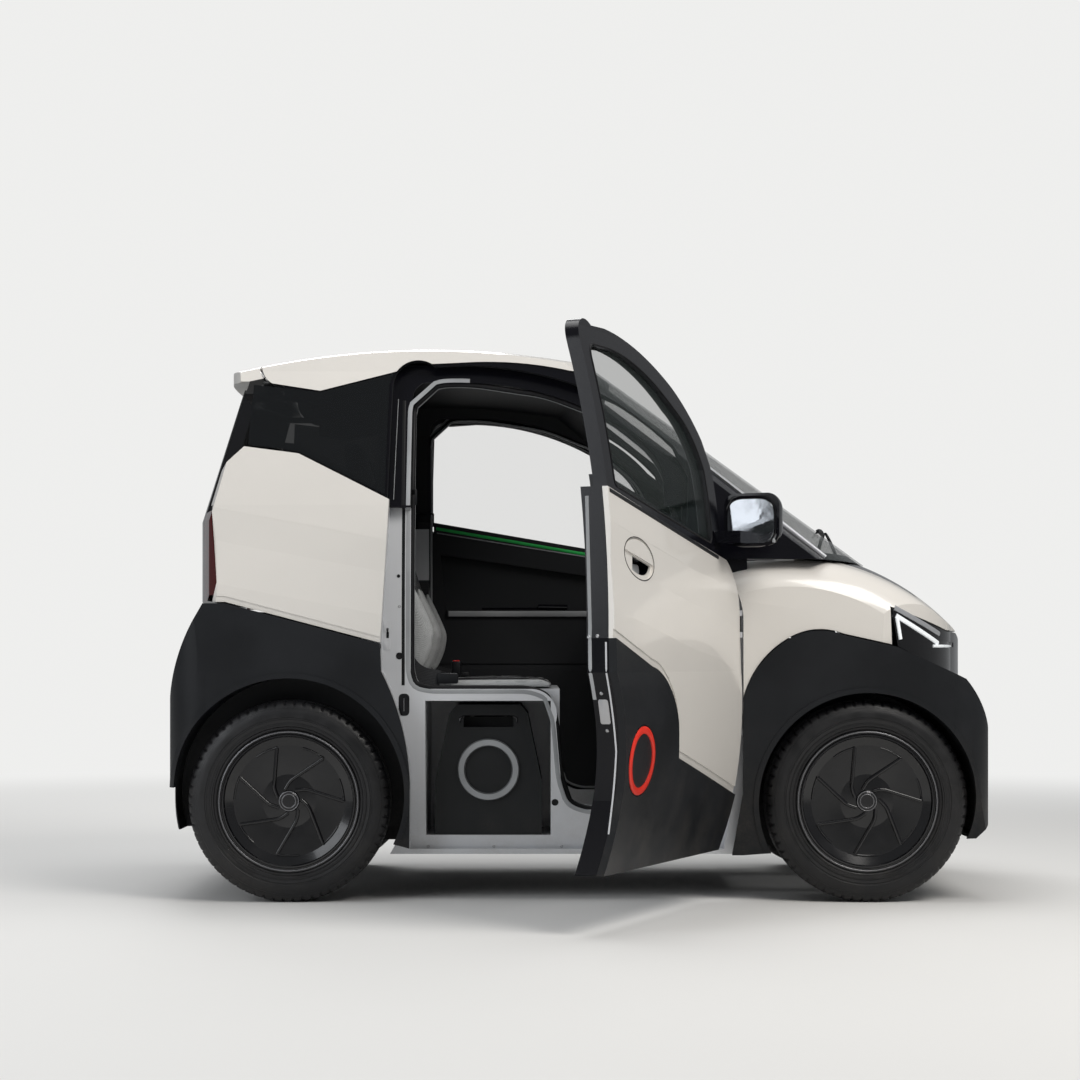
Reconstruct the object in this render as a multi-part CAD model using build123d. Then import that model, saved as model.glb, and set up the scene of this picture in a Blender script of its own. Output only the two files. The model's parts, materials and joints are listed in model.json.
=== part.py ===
from build123d import *
import os
from math import cos, radians, sin, sqrt

os.makedirs("parts", exist_ok=True)

# A two-seat electric microcar at full size, in millimetres.
# +X is forward, +Y is left and +Z is up. The origin is on the floor, on the
# centreline, midway between the axles.

# Driving dimensions: wheels
wheelbase = 1600
wheel_y = 556
tyre_radius = 280
tyre_width = 148
tyre_bead_radius = 196
cover_ribs = 7
arch_gap_front = 20
arch_gap_rear = 40
arch_lift_rear = 20

# Driving dimensions: body
half_width = 640
cladding_proud = 6
front_overhang = 350
rear_overhang = 336
sill_z = 127
waist_z = 640
belt_z = 1100
crown_z = 1585
bottom_tuck = 70
belt_lean = 27
roof_lean = 112
rail_z = 1480
waist_sag = 7
sill_sag = 13

# Driving dimensions: walls
fit_gap = 0.3
skin = 5
panel = 12
wall = 40
door_thick = 70
door_skin = 14
frame_thick = 36
jamb_gap = 6
jamb_thick = 34
cage_thick = 20
door_gap = 7
panel_gap = 4
gate_gap = 7

# Driving dimensions: tow sockets
tow_front_set = 20
tow_rear_set = 14
tow_front_y = -300
tow_rear_y = 300
tow_z = 268
tow_r = 8
tow_bore_length = 46
tow_tube_length = 56
tow_boss_r = 17
tow_hole_r = 22

# Driving dimensions: doors and steering
door_hinge_x = 441
door_hinge_y = 626
door_open = 67

# Driving dimensions: creases and recesses
crease_deep = 5
crease_low = 90
crease_foot = 210
lip_wide = 20
lip_deep = 3
arch_lip = 3
arch_lip_wide = 15

front_x = wheelbase / 2
rear_x = -wheelbase / 2
nose_x = front_x + front_overhang
tail_x = rear_x - rear_overhang
tow_front_x = nose_x - tow_front_set
tow_rear_x = tail_x + tow_rear_set
hub_z = tyre_radius
big = 3000


def outline(plane, start, *steps):
    """Face on a plane. A step is a point (a line) or a pair of points (an arc, through and to)."""
    edges = []
    here = start
    for step in steps:
        if isinstance(step[0], tuple):
            edges.append(ThreePointArc(here, step[0], step[1]))
            here = step[1]
        else:
            edges.append(Line(here, step))
            here = step
    if (Vector(here) - Vector(start)).length > 0.001:
        edges.append(Line(here, start))
    return plane * make_face(edges)


def side_prism(start, *steps):
    """Outline in side view, X and Z, run across the whole width."""
    return extrude(outline(Plane.XZ, start, *steps), amount=big / 2, both=True)


def block(x0, x1, y0, y1, z0, z1):
    """Box between two corners."""
    return Pos((x0 + x1) / 2, (y0 + y1) / 2, (z0 + z1) / 2) * Box(x1 - x0, y1 - y0, z1 - z0)


def both_sides(solid):
    """A right-hand piece and its mirror image."""
    return Compound(children=[solid, mirror(solid, about=Plane.XZ)])


def side_y(z):
    """Half width of the body sides at a height from the waist to the belt."""
    rise = z - waist_z
    span = belt_z - waist_z
    mid = span / 2 + 20
    bend = (belt_lean / span - waist_sag / mid) / (span - mid)
    return half_width - (waist_sag / mid - bend * mid) * rise - bend * rise * rise


right_half = block(-big, big, -big, 0, -big, big)
roof_top = crown_z + 115


def flank_face(inset):
    """Cross-section of the body sides: tuck-in, waist, lean of the upper body."""
    low = half_width - bottom_tuck - inset
    waist = half_width - inset
    belt = half_width - belt_lean - inset
    rail = half_width - roof_lean - inset
    top_z = roof_top
    top = rail - (top_z - rail_z) * (roof_lean - belt_lean) / (rail_z - belt_z)
    return outline(
        Plane.YZ,
        (-low, sill_z),
        (low, sill_z),
        ((waist - sill_sag, (sill_z + waist_z) / 2 - 30), (waist, waist_z)),
        ((waist - waist_sag, (waist_z + belt_z) / 2 + 20), (belt, belt_z)),
        ((belt - 36, (belt_z + rail_z) / 2), (rail, rail_z)),
        (top, top_z),
        (-top, top_z),
        (-rail, rail_z),
        ((36 - belt, (belt_z + rail_z) / 2), (-belt, belt_z)),
        ((waist_sag - waist, (waist_z + belt_z) / 2 + 20), (-waist, waist_z)),
        ((sill_sag - waist, (sill_z + waist_z) / 2 - 30), (-low, sill_z)),
    )


def flank(inset):
    """Body sides run along the whole length."""
    return extrude(flank_face(inset), amount=big / 2, both=True)


# Roof barrel: a crowned section turned about a cross axis below the car
roof_axis_x = -420
roof_axis_z = -835
roof_crown_drop = 45
roof_edge_y = 505


def roof_barrel(inset):
    """Solid under the roof, crowned both ways."""
    radius = crown_z - roof_axis_z - inset
    edge_drop = roof_crown_drop * (700 / roof_edge_y) ** 2
    face = outline(
        Plane.YZ,
        (-700, 300),
        (700, 300),
        (700, radius - edge_drop),
        ((0, radius), (-700, radius - edge_drop)),
    )
    axis = Axis((0, 0, 0), (0, 1, 0))
    body = revolve(face.rotate(axis, -40), axis=axis, revolution_arc=80)
    return Pos(roof_axis_x, 0, roof_axis_z) * body


def curved_cut(high, low, radius, inset, sign):
    """Solid behind a curved pane that leans from a high to a low point, X and Z."""
    dx = low[0] - high[0]
    dz = low[1] - high[1]
    length = sqrt(dx * dx + dz * dz)
    along = Vector(dx / length, 0, dz / length)
    plane = Plane(origin=(high[0], 0, high[1]), x_dir=(0, 1, 0), z_dir=along)
    outward = Vector(sign * abs(dz) / length, 0, abs(dx) / length)
    up = 1 if plane.y_dir.dot(outward) > 0 else -1
    reach = 760
    sag = radius - sqrt(radius * radius - reach * reach)
    face = outline(
        plane,
        (-reach, -up * (sag + inset)),
        ((0, -up * inset), (reach, -up * (sag + inset))),
        (reach, -up * big),
        (-reach, -up * big),
    )
    return extrude(face, amount=big / 2, both=True)


# Windscreen and rear window, on the centreline
screen_high = (94, 1508)
screen_low = (831, 974)
screen_radius = 1750
rear_high = (rear_x - 175, 1475)
rear_low = (rear_x - 298, 1089)
rear_radius = 2300
tail_flat_x = rear_x - 304


def tail_cut(inset):
    """Solid in front of the upright tail panel."""
    return curved_cut((tail_flat_x, 1000), (tail_flat_x - 0.01, 500), rear_radius, inset, -1)


def cabin(inset):
    """Upper body: sides, crowned roof, raked windscreen and rear window."""
    body = flank(inset) & roof_barrel(inset)
    body = body & curved_cut(screen_high, screen_low, screen_radius, inset, 1)
    body = body & curved_cut(rear_high, rear_low, rear_radius, inset, -1)
    body = body & tail_cut(inset)
    corners = extrude(
        outline(
            Plane.XY,
            (tail_x - 64 + inset, -440),
            (tail_x - 64 + inset, 440),
            (tail_x + 51 + inset, 500 - inset),
            ((tail_x + 96, half_width - 50 - inset), (tail_x + 176, half_width + 20 - inset)),
            (big / 2, half_width + 20 - inset),
            (big / 2, -half_width - 20 + inset),
            (tail_x + 176, -half_width - 20 + inset),
            ((tail_x + 96, 50 + inset - half_width), (tail_x + 51 + inset, inset - 500)),
        ),
        amount=big,
    )
    return body & corners


# Bonnet barrel: shoulders and crown turned about a cross axis inside the front wheels
bonnet_axis_x = front_x - 215
bonnet_axis_z = 300
bonnet_crown_r = 702
bonnet_shoulder_r = 655


def front_body(inset):
    """Upper front body: bonnet, shoulders and nose."""
    crown = bonnet_crown_r - inset
    shoulder = bonnet_shoulder_r - inset
    side = half_width - inset
    face = outline(
        Plane.YZ,
        (-side, 0),
        (side, 0),
        (side, shoulder - 110),
        ((side - 36, shoulder - 34), (side - 125, shoulder)),
        ((0, crown), (125 - side, shoulder)),
        ((36 - side, shoulder - 34), (-side, shoulder - 110)),
    )
    axis = Axis((0, 0, 0), (0, 1, 0))
    barrel = revolve(face.rotate(axis, -30), axis=axis, revolution_arc=150)
    barrel = Pos(bonnet_axis_x, 0, bonnet_axis_z) * barrel
    nose = extrude(
        outline(
            Plane.XY,
            (-400, -700),
            (-400, 700),
            (front_x - 100, 700),
            (front_x + 20, half_width + 5 - inset),
            ((front_x + 200, 530 - inset / 2), (front_x + 272 - inset, 380)),
            ((nose_x - 2 - inset, 0), (front_x + 272 - inset, -380)),
            ((front_x + 200, inset / 2 - 530), (front_x + 20, inset - half_width - 5)),
            (front_x - 100, -700),
        ),
        amount=big / 2,
    )
    return barrel & flank(inset) & nose


def lower_body(inset):
    """Lower body with its square corners: arches, bumpers and sills."""
    side = half_width - inset
    corner = 105
    plan = extrude(
        outline(
            Plane.XY,
            (tail_x + inset, 0),
            ((tail_x + 1 + inset, 270), (tail_x + 4 + inset, side - corner)),
            ((tail_x + 34 + inset, side - 28), (tail_x + 4 + corner, side)),
            (nose_x - 10 - corner, side),
            ((nose_x - 40 - inset, side - 28), (nose_x - 10 - inset, side - corner)),
            ((nose_x - inset, 0), (nose_x - 10 - inset, corner - side)),
            ((nose_x - 40 - inset, 28 - side), (nose_x - 10 - corner, -side)),
            (tail_x + 4 + corner, -side),
            ((tail_x + 34 + inset, 28 - side), (tail_x + 4 + inset, corner - side)),
            ((tail_x + 1 + inset, -270), (tail_x + inset, 0)),
        ),
        amount=big / 2,
    )
    front_edge = nose_x - 4 - inset
    rear_edge = tail_x + inset
    side_view = side_prism(
        (rear_edge, sill_z - 40),
        (rear_edge, 420),
        ((rear_edge + 12, 600), (rear_edge + 76, 773)),
        (rear_edge + 120, 850),
        (front_edge - 140, 850),
        (front_edge - 106, 640 - inset / 2),
        ((front_edge - 22, 520 - inset / 4), (front_edge, 328)),
        (front_edge - 3, 218),
        (front_edge - 48, 179 + inset),
        (front_edge - 48, sill_z - 40),
    )
    return plan & flank(inset) & side_view


# Side-view outlines, X and Z
def door_prism(grow, upper=0):
    """Outline of the closed door, grown by a gap, with more behind its upper frame."""
    g = grow
    return side_prism(
        (-462 - g, 148 - g),
        (-458 - g, 330),
        ((-482 - g, 500), (-536 - g, 640)),
        (-539 - g, 722),
        (-517 - g - upper, belt_z),
        (-505 - g - upper, 1440),
        ((-488 - g - upper, 1478 + g), (-400, 1488 + g)),
        (-312, 1492 + g),
        ((-90, 1462 + g), (110, 1388 + g)),
        ((215, 1312 + g), (262 + g, 1262 + g)),
        (300 + g, 1180),
        (292 + g, 958 + g),
        ((392 + g, 892 + g), (430 + g, 770)),
        (430 + g, 320),
        (404 + g, 148 - g),
    )


def quarter_side(grow):
    """White panel behind the door, in side view."""
    g = grow
    return side_prism(
        (rear_x - 300, 1101 + g),
        (rear_x - 128, 1265 + g),
        (rear_x + 24, 1245 + g),
        (-505, 1107 + g),
        (-400, 1107 + g),
        (-400, 700),
        (-552, 720 - g),
        (rear_x - 174, 831 - g),
        (rear_x - 300, 831 - g),
    )


shapes = {}


def piece(name, solid, color):
    """Keep a piece under its name."""
    solid.label = name
    solid.color = Color(*color)
    shapes[name] = solid


white = (0.86, 0.85, 0.81)
dark = (0.12, 0.12, 0.13)
black = (0.03, 0.03, 0.03)
grey = (0.45, 0.46, 0.48)
tint = (0.3, 0.35, 0.38)

cage_outer = skin + fit_gap
cage_jamb = frame_thick + jamb_gap
cage_inner = cage_jamb + cage_thick
jamb = door_thick + jamb_gap
jamb_inner = jamb + jamb_thick
wall_back = wall + fit_gap

# Tailgate hinge: the lid passes over the roof edge on a round of this radius
gate_axis_x = rear_x - 20
gate_axis_z = 1500
gate_round = 72
roof_round = 65


def gate_cylinder(radius):
    return Pos(gate_axis_x, 0, gate_axis_z) * (Rot(90, 0, 0) * Cylinder(radius, big))


# Pane frames: planes that lie on the windscreen and on the rear window
def pane_plane(high, low, sign):
    """Plane on a leaning pane, with its local Y up along the pane."""
    dx = low[0] - high[0]
    dz = low[1] - high[1]
    length = sqrt(dx * dx + dz * dz)
    normal = (sign * abs(dz) / length, 0, abs(dx) / length)
    return Plane(
        origin=((high[0] + low[0]) / 2, 0, (high[1] + low[1]) / 2), x_dir=(0, 1, 0), z_dir=normal
    )


screen_half = sqrt((screen_low[0] - screen_high[0]) ** 2 + (screen_low[1] - screen_high[1]) ** 2) / 2
screen_plane = pane_plane(screen_high, screen_low, 1)


def screen_tool(grow):
    """Outline of the windscreen, through the pane."""
    top = screen_half - 18 + grow
    low = 20 - screen_half - grow
    face = outline(
        screen_plane,
        (-548 - grow, low),
        ((0, low - 40), (548 + grow, low)),
        (452 + grow, top),
        ((0, top + 25), (-452 - grow, top)),
    )
    return extrude(face, amount=200, both=True)


def tow_hole(y):
    """Hole in a bumper in line with a tow socket."""
    return Pos(0, y, tow_z) * (Rot(0, 90, 0) * Cylinder(tow_hole_r, big))


def gate_tool(grow, low_z=838):
    """Outline of the tailgate seen from behind."""
    g = grow
    top_z = crown_z + 15
    face = outline(
        Plane.YZ,
        (-470 - g, low_z - g),
        (470 + g, low_z - g),
        (470 + g, 1080),
        (415 + g, 1430),
        (455 + g, top_z),
        (-455 - g, top_z),
        (-415 - g, 1430),
        (-470 - g, 1080),
    )
    return extrude(face, amount=-big / 2)


gate_zone = block(-big, gate_axis_x, -big, big, 0, big)
fixed_roof = block(gate_axis_x, big, -big, big, 0, big) + gate_cylinder(roof_round)

greenhouse_foot = 950
screen_foot_x = 866
cabin_0 = cabin(0)
cabin_skin = cabin(skin)
cabin_cage = cabin(cage_outer)
cabin_in = cabin(cage_inner)
flank_0 = flank(0)


def crease_face(x, z, deep):
    """Section of the crease cut at one station: inwards below the crease, and out to its foot."""
    low = z - crease_low
    foot = z - crease_foot
    far = half_width + wall
    station = Plane(origin=(x, 0, 0), x_dir=(0, 1, 0), z_dir=(1, 0, 0))
    return outline(
        station,
        (-side_y(z), z),
        (deep - side_y(low), low),
        (-side_y(foot), foot),
        (-far, foot),
        (-far, z),
    )


# Shoulder crease along the body: X, height and depth at each station
crease_stations = (
    (rear_x - 260, 1103, crease_deep),
    (-541, 1005, crease_deep),
    (50, 907, crease_deep),
    (231, 885, crease_deep * 0.6),
    (474, 830, crease_deep * 0.6),
    (front_x - 150, 806, crease_deep * 0.05),
)
crease_cut = loft([crease_face(*station) for station in crease_stations], ruled=True)
crease = both_sides(crease_cut)

# Roof panel: white, down to the door tops and the quarter glasses
roof_region = side_prism(
    (rear_x - 160, 1462),
    (rear_x + 80, 1424),
    (-514, 1478),
    (-441, 1500),
    (-312, 1506),
    ((-150, 1503), (-20, 1482)),
    (40, 1476),
    (90, roof_top),
    (rear_x - 160, roof_top),
)
roof_panel = (cabin_0 - cabin_skin) & roof_region & fixed_roof
screen_edge = screen_tool(35)
roof_panel = roof_panel - screen_edge - door_prism(door_gap + 1, 6)
piece("roof_panel", roof_panel, white)

# Windscreen and the black upper frame
above_foot = block(-big, big, -big, big, greenhouse_foot, big)
screen_pane = (cabin_0 - cabin_skin) & screen_tool(30) & above_foot
piece("windscreen", screen_pane, tint)

opening_upper = side_prism(
    (-466, 1000),
    (-462, 1400),
    ((-450, 1440), (-400, 1450)),
    (-300, 1452),
    ((-90, 1420), (90, 1345)),
    ((190, 1275), (235, 1215)),
    (250, 1000),
)
quarter_window = side_prism(
    (rear_x - 75, 1282),
    (rear_x + 24, 1272),
    (-570, 1155),
    (-555, 1170),
    (-555, 1420),
    (rear_x + 80, 1390),
    (rear_x - 75, 1405),
)
cage_region = side_prism(
    (tail_x - 64, belt_z - fit_gap - 3),
    (0, belt_z - fit_gap - 3),
    (290, belt_z),
    (290, 950),
    (860, 950),
    (860, roof_top),
    (tail_x - 64, roof_top),
)
cage = (cabin_cage - cabin_in) & cage_region & fixed_roof
cage = cage - (door_prism(door_gap, 6) - cabin(cage_jamb)) - opening_upper
screen_sill = 22
above_sill = block(-big, big, -big, big, greenhouse_foot + screen_sill, big)
cage = cage - quarter_window - (screen_tool(-20) & above_sill)
foot_region = side_prism(
    (375, 870),
    (470, 870),
    (470, greenhouse_foot + screen_sill),
    (375, greenhouse_foot + screen_sill),
)
pillar_feet = (flank(wall_back) - flank(jamb_inner)) & foot_region
pillar_feet = pillar_feet - (door_prism(door_gap) - flank(jamb)) - front_body(-fit_gap)
cage = cage + pillar_feet
cage = cage - (quarter_side(fit_gap) - cabin(wall_back))
cage = cage - (gate_tool(gate_gap) & gate_zone & block(-big, gate_axis_x - 20, -big, big, 0, big))

# Tailgate hinges: arms on the lid turn on pins in slots of the roof frame
gate_arm_y = 300
gate_arm_wide = 24
gate_slot_wide = 36
gate_pin_r = 6
gate_arm_drop = 76
gate_arm_thick = 16
gate_arm_lean = 15
gate_arms = Part()
for side in (-1, 1):
    y = side * gate_arm_y
    half = gate_arm_wide / 2
    slot = gate_slot_wide / 2
    cage = cage - block(-big, gate_axis_x + 16, y - slot, y + slot, 1300, gate_axis_z + 20)
    pin_at = Pos(gate_axis_x, y, gate_axis_z)
    cage = cage + pin_at * (Rot(90, 0, 0) * Cylinder(gate_pin_r, gate_slot_wide + 16))
    eye = pin_at * (Rot(90, 0, 0) * Cylinder(13, gate_arm_wide))
    drop = block(-gate_arm_thick / 2, gate_arm_thick / 2, -half, half, -gate_arm_drop, 0)
    drop = drop.rotate(Axis.Y, gate_arm_lean)
    foot_x = gate_axis_x - gate_arm_drop * sin(radians(gate_arm_lean))
    foot_z = gate_axis_z - gate_arm_drop * cos(radians(gate_arm_lean))
    reach = block(rear_x - 250, foot_x + 8, y - half, y + half, foot_z - 6, foot_z + 10)
    reach = reach & cabin(wall - 10)
    bore = pin_at * (Rot(90, 0, 0) * Cylinder(gate_pin_r + fit_gap, 2 * gate_arm_wide))
    gate_arms = gate_arms + (eye + pin_at * drop + reach - bore)
piece("upper_frame", cage, black)

quarter_pane = (cabin_0 - cabin_skin) & side_prism(
    (rear_x - 117, 1270),
    (rear_x + 24, 1250),
    (-535, 1129),
    (-526, 1440),
    (-518, 1472),
    (rear_x + 80, 1420),
    (rear_x - 105, 1441),
)
piece("quarter_glasses", quarter_pane, tint)

# Quarter panels, white, whole wall thickness
quarter = (cabin_0 - cabin(wall)) & quarter_side(0) - door_prism(door_gap)
quarter = quarter & block(-big, -450, -big, big, 0, big)
quarter = quarter - gate_tool(85, low_z=700)
tail_edge = side_prism(
    (-big, 0),
    (rear_x - 210, 0),
    (rear_x - 210, 835),
    (rear_x - 197, 885),
    (rear_x - 214, 1101),
    (-big, 1101),
)
quarter = quarter - tail_edge - crease

# Side frames, white: pillar, sill, seat box jamb and hinge pillar
battery_bay = side_prism((-425, 179), (-75, 179), (-75, 557), (-425, 557))
opening_lower = side_prism(
    (-466, 1200),
    (-466, 640),
    ((-455, 600), (-410, 590)),
    (-135, 590),
    ((-80, 570), (-61, 497)),
    (-47, 337),
    ((-25, 270), (25, 251)),
    (330, 251),
    ((385, 275), (395, 330)),
    (395, 880),
    (300, 1200),
)
frame_region = side_prism(
    (-600, sill_z),
    (-600, belt_z - 3 - 2 * fit_gap),
    (0, belt_z - 3 - 2 * fit_gap),
    (280, 946),
    (470, 946),
    (470, sill_z),
)
arch_rear_r = tyre_radius + arch_gap_rear
arch_front_r = tyre_radius + arch_gap_front
liner_thick = 4


def wheel_cylinder(x, radius, length=big):
    """Round over an axle. The rear arch sits higher than its hub."""
    lift = arch_lift_rear if x < 0 else 0
    return Pos(x, 0, hub_z + lift) * (Rot(90, 0, 0) * Cylinder(radius, length))


rear_round = wheel_cylinder(rear_x, arch_rear_r + liner_thick + fit_gap)
front_round = wheel_cylinder(front_x, arch_front_r + liner_thick + fit_gap)

side_frame = (flank(wall_back) - flank(jamb_inner)) & frame_region
side_frame = side_frame - (door_prism(door_gap) - flank(jamb)) - opening_lower - battery_bay
pillar = (flank(20) - flank(jamb)) & block(450, 475, -big, big, 140, 930)
pillar = pillar & front_body(panel + fit_gap)
above_fender = block(290, big, -big, big, 600, big) - front_body(panel + fit_gap)
side_frame = side_frame - above_fender
side_frame = (side_frame + pillar) - rear_round - front_round
right_frame = side_frame & right_half

# Door hinges: two pins on the hinge pillar, a knuckle on the door between two arms
hinge_pin_r = 5
hinge_arm_r = 7
knuckle_high = 44
hinge_arm_high = 16
hinge_heights = (500, 770)
hinge_at = Pos(door_hinge_x, -door_hinge_y, 0)


def hinge_fixed(z):
    """Pin with an arm above and below, reaching in to the hinge pillar."""
    pin = Pos(0, 0, z) * Cylinder(hinge_pin_r, knuckle_high + 2 * hinge_arm_high)
    arms = Part()
    for side in (-1, 1):
        z_arm = z + side * (knuckle_high + hinge_arm_high) / 2
        arm = Pos(0, 0, z_arm) * Cylinder(hinge_arm_r, hinge_arm_high - 2 * fit_gap)
        web = block(
            0, 13, -hinge_arm_r, 45, z_arm - hinge_arm_high / 2 + fit_gap,
            z_arm + hinge_arm_high / 2 - fit_gap,
        )
        arms = arms + arm + web
    return hinge_at * (pin + arms)


def hinge_moving(z):
    """Door knuckle round the pin, with a web to the door's front edge."""
    tall = knuckle_high - 2 * fit_gap
    ring = Pos(0, 0, z) * Cylinder(hinge_arm_r + 2, tall)
    web = block(-25, 0, 4.5, hinge_arm_r + 8, z - tall / 2, z + tall / 2)
    hole = Pos(0, 0, z) * Cylinder(hinge_pin_r + fit_gap, tall * 2)
    return hinge_at * (ring + web - hole)


for height in hinge_heights:
    right_frame = right_frame + hinge_fixed(height)
piece("side_frame_right", right_frame, white)
piece("side_frame_left", mirror(right_frame, about=Plane.XZ), white)

# Doors, modelled closed
window_hole = side_prism(
    (-462, 1092),
    (-450, 1390),
    ((-440, 1428), (-400, 1432)),
    (-312, 1438),
    ((-90, 1402), (85, 1325)),
    ((165, 1275), (205, 1225)),
    (228, 1180),
    (226, 985),
    (60, 1010),
)
belt_line = side_prism((-900, 1160), (-517, 1085), (-106, 1013), (276, 951), (600, 900), (600, 0), (-900, 0))
door_clad_region = side_prism(
    (-900, 800),
    (-539, 722),
    (-288, 653),
    ((-165, 600), (-102, 510)),
    (-86, 420),
    (400, 306),
    (900, 200),
    (900, 0),
    (-900, 0),
)
door_shape = door_prism(0) & right_half
door_lower = door_shape & belt_line
skin_wall = flank_0 - flank(door_skin)
clad_wall = flank(-cladding_proud) - flank(door_skin)
door_skin_r = (skin_wall & door_lower) - door_clad_region - crease_cut
clad_grown = Pos(lip_wide / 2, 0, lip_wide) * door_clad_region
door_skin_r = door_skin_r - ((flank_0 - flank(lip_deep)) & clad_grown)
door_clad_r = (clad_wall & door_lower) & door_clad_region
door_core_low = (flank(door_skin + fit_gap) - flank(door_thick)) & door_lower
door_core_up = (flank(1) - flank(frame_thick)) & (door_shape - belt_line) - window_hole
door_core_low = door_core_low - (window_hole - flank(frame_thick - 8))
door_core_r = door_core_low + door_core_up
door_glass_r = (flank(8) - flank(8 + skin)) & (window_hole & right_half) - belt_line
for height in hinge_heights:
    door_core_r = door_core_r + hinge_moving(height)

# Door handle: an oval cut round a flap, a dish below the flap and a pocket behind it
handle_x = -336
handle_z = 918
handle_half_long = 100
handle_half_tall = 48
handle_tilt = radians(10)
handle_split = 4
handle_groove = 3
handle_dish_deep = 9
handle_pocket_deep = 32
handle_plane = Plane(
    origin=(handle_x, 0, handle_z), x_dir=(cos(handle_tilt), 0, -sin(handle_tilt)), z_dir=(0, -1, 0)
)


def handle_oval(inset):
    """Oval of the handle, run across the body."""
    oval = handle_plane * Ellipse(handle_half_long - inset, handle_half_tall - inset)
    return extrude(oval, amount=big / 2, both=True)


def handle_zone(u0, u1, v0, v1):
    """Box in the handle's own directions, run across the body."""
    face = handle_plane * (Pos((u0 + u1) / 2, (v0 + v1) / 2) * Rectangle(u1 - u0, v1 - v0))
    return extrude(face, amount=big / 2, both=True)


handle_rim = handle_oval(0) - handle_oval(handle_groove)
below_flap = handle_zone(-handle_half_long, handle_half_long, -handle_half_tall, handle_split)
pocket_zone = handle_zone(-35, handle_half_long, -handle_half_tall, handle_split - handle_groove)
handle_pocket = (flank_0 - flank(handle_pocket_deep)) & handle_oval(11) & pocket_zone
handle_dish = (flank_0 - flank(handle_dish_deep)) & handle_oval(0) & below_flap
handle_line = (flank_0 - flank(handle_dish_deep - 2)) & handle_rim
door_skin_r = door_skin_r - handle_dish - handle_line
door_skin_r = door_skin_r - handle_pocket
door_core_r = door_core_r - handle_pocket

# Door lining: a raised top edge under the window, a recess, and a ledge below it
ledge_low = 812
ledge_high = 834
ledge_proud = 8
recess_deep = 25
lining_groove_z = 655
lining_groove = 5
lining_front = 150
lining_top = side_prism((-452, 1120), (222, 1005), (222, 955), (-452, 1065))
lining_recess = side_prism(
    (-432, 1016), (lining_front, 932), (lining_front, ledge_high), (-410, ledge_high)
)
door_core_r = door_core_r + ((flank(frame_thick - 8) - flank(door_thick)) & lining_top & right_half)
door_core_r = door_core_r - ((flank(door_thick - recess_deep) - flank(door_thick)) & lining_recess)
ledge = block(-410, lining_front, -big, 0, ledge_low, ledge_high)
door_core_r = door_core_r + ((flank(door_thick - 1) - flank(door_thick + ledge_proud)) & ledge)
groove = block(-440, 240, -big, 0, lining_groove_z, lining_groove_z + lining_groove)
door_core_r = door_core_r - ((flank(door_thick - lining_groove) - flank(door_thick)) & groove)

# Door mirror: housing on a foot at the front corner of the door
mirror_x = 330
mirror_y = -706
mirror_z = 1050
mirror_w = 156
mirror_h = 142
mirror_deep = 92
mirror_face = Plane(origin=(mirror_x - 14, mirror_y, mirror_z), x_dir=(0, 1, 0), z_dir=(1, 0, 0))
mirror_body = loft(
    [
        mirror_face * RectangleRounded(mirror_w, mirror_h, 34),
        mirror_face.offset(mirror_deep * 0.55) * RectangleRounded(mirror_w - 12, mirror_h - 14, 40),
        mirror_face.offset(mirror_deep) * RectangleRounded(mirror_w - 70, mirror_h - 70, 30),
    ]
)
mirror_recess = extrude(mirror_face * RectangleRounded(mirror_w - 14, mirror_h - 14, 28), amount=6)
mirror_foot = block(238, 288, -668, -600, 984, 1016) + block(238, 350, -700, -656, 984, 1016)
mirror_r = (mirror_body - mirror_recess) + (mirror_foot - flank(1 - fit_gap))
mirror_r = mirror_r - door_skin_r - door_core_r

door_pieces = {
    "door_skin": (door_skin_r, white),
    "door_cladding": (door_clad_r, dark),
    "door_core": (door_core_r, black),
    "door_glass": (door_glass_r, tint),
    "door_mirror": (mirror_r, black),
}
hinge_axis_r = Axis((door_hinge_x, -door_hinge_y, 0), (0, 0, 1))
for name, (solid, color) in door_pieces.items():
    piece(name + "_right", solid.rotate(hinge_axis_r, door_open), color)
    piece(name + "_left", mirror(solid, about=Plane.XZ), color)

# Claddings and bumpers, dark, with a ledge along their top border
def rear_clad_region(drop):
    """Rear cladding in side view, its top border lowered by a thickness."""
    return side_prism(
        (rear_x - 400, 827 - drop),
        (rear_x - 174, 827 - drop),
        (-552, 716 - drop),
        (-400, 690 - drop),
        (-400, sill_z),
        (rear_x - 285, sill_z + 190),
        (rear_x - 400, sill_z + 190),
    )


def front_clad_region(drop):
    """Front cladding in side view, its top border lowered by a thickness."""
    return side_prism(
        (430, 127),
        (456, 300),
        (456, 566 - drop),
        ((front_x - 303, 652 - drop), (front_x - 209, 734 - drop)),
        ((front_x - 140, 752 - drop), (front_x - 69, 740 - drop)),
        (front_x + 80, 707 - drop),
        (front_x + 236, 635 - drop),
        (front_x + 400, 556 - drop),
        (front_x + 400, 175),
        (front_x + 290, 175),
        (461, 127),
    )


quarter = quarter - ((flank_0 - flank(lip_deep)) & rear_clad_region(-lip_wide))
piece("quarter_panels", quarter, white)

lower_out = lower_body(-cladding_proud)
lower_lip = lower_body(-cladding_proud - arch_lip) - lower_out
lower_in = lower_body(panel - cladding_proud)
lower_wall = lower_out - lower_in
bumper_half = 380


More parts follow.
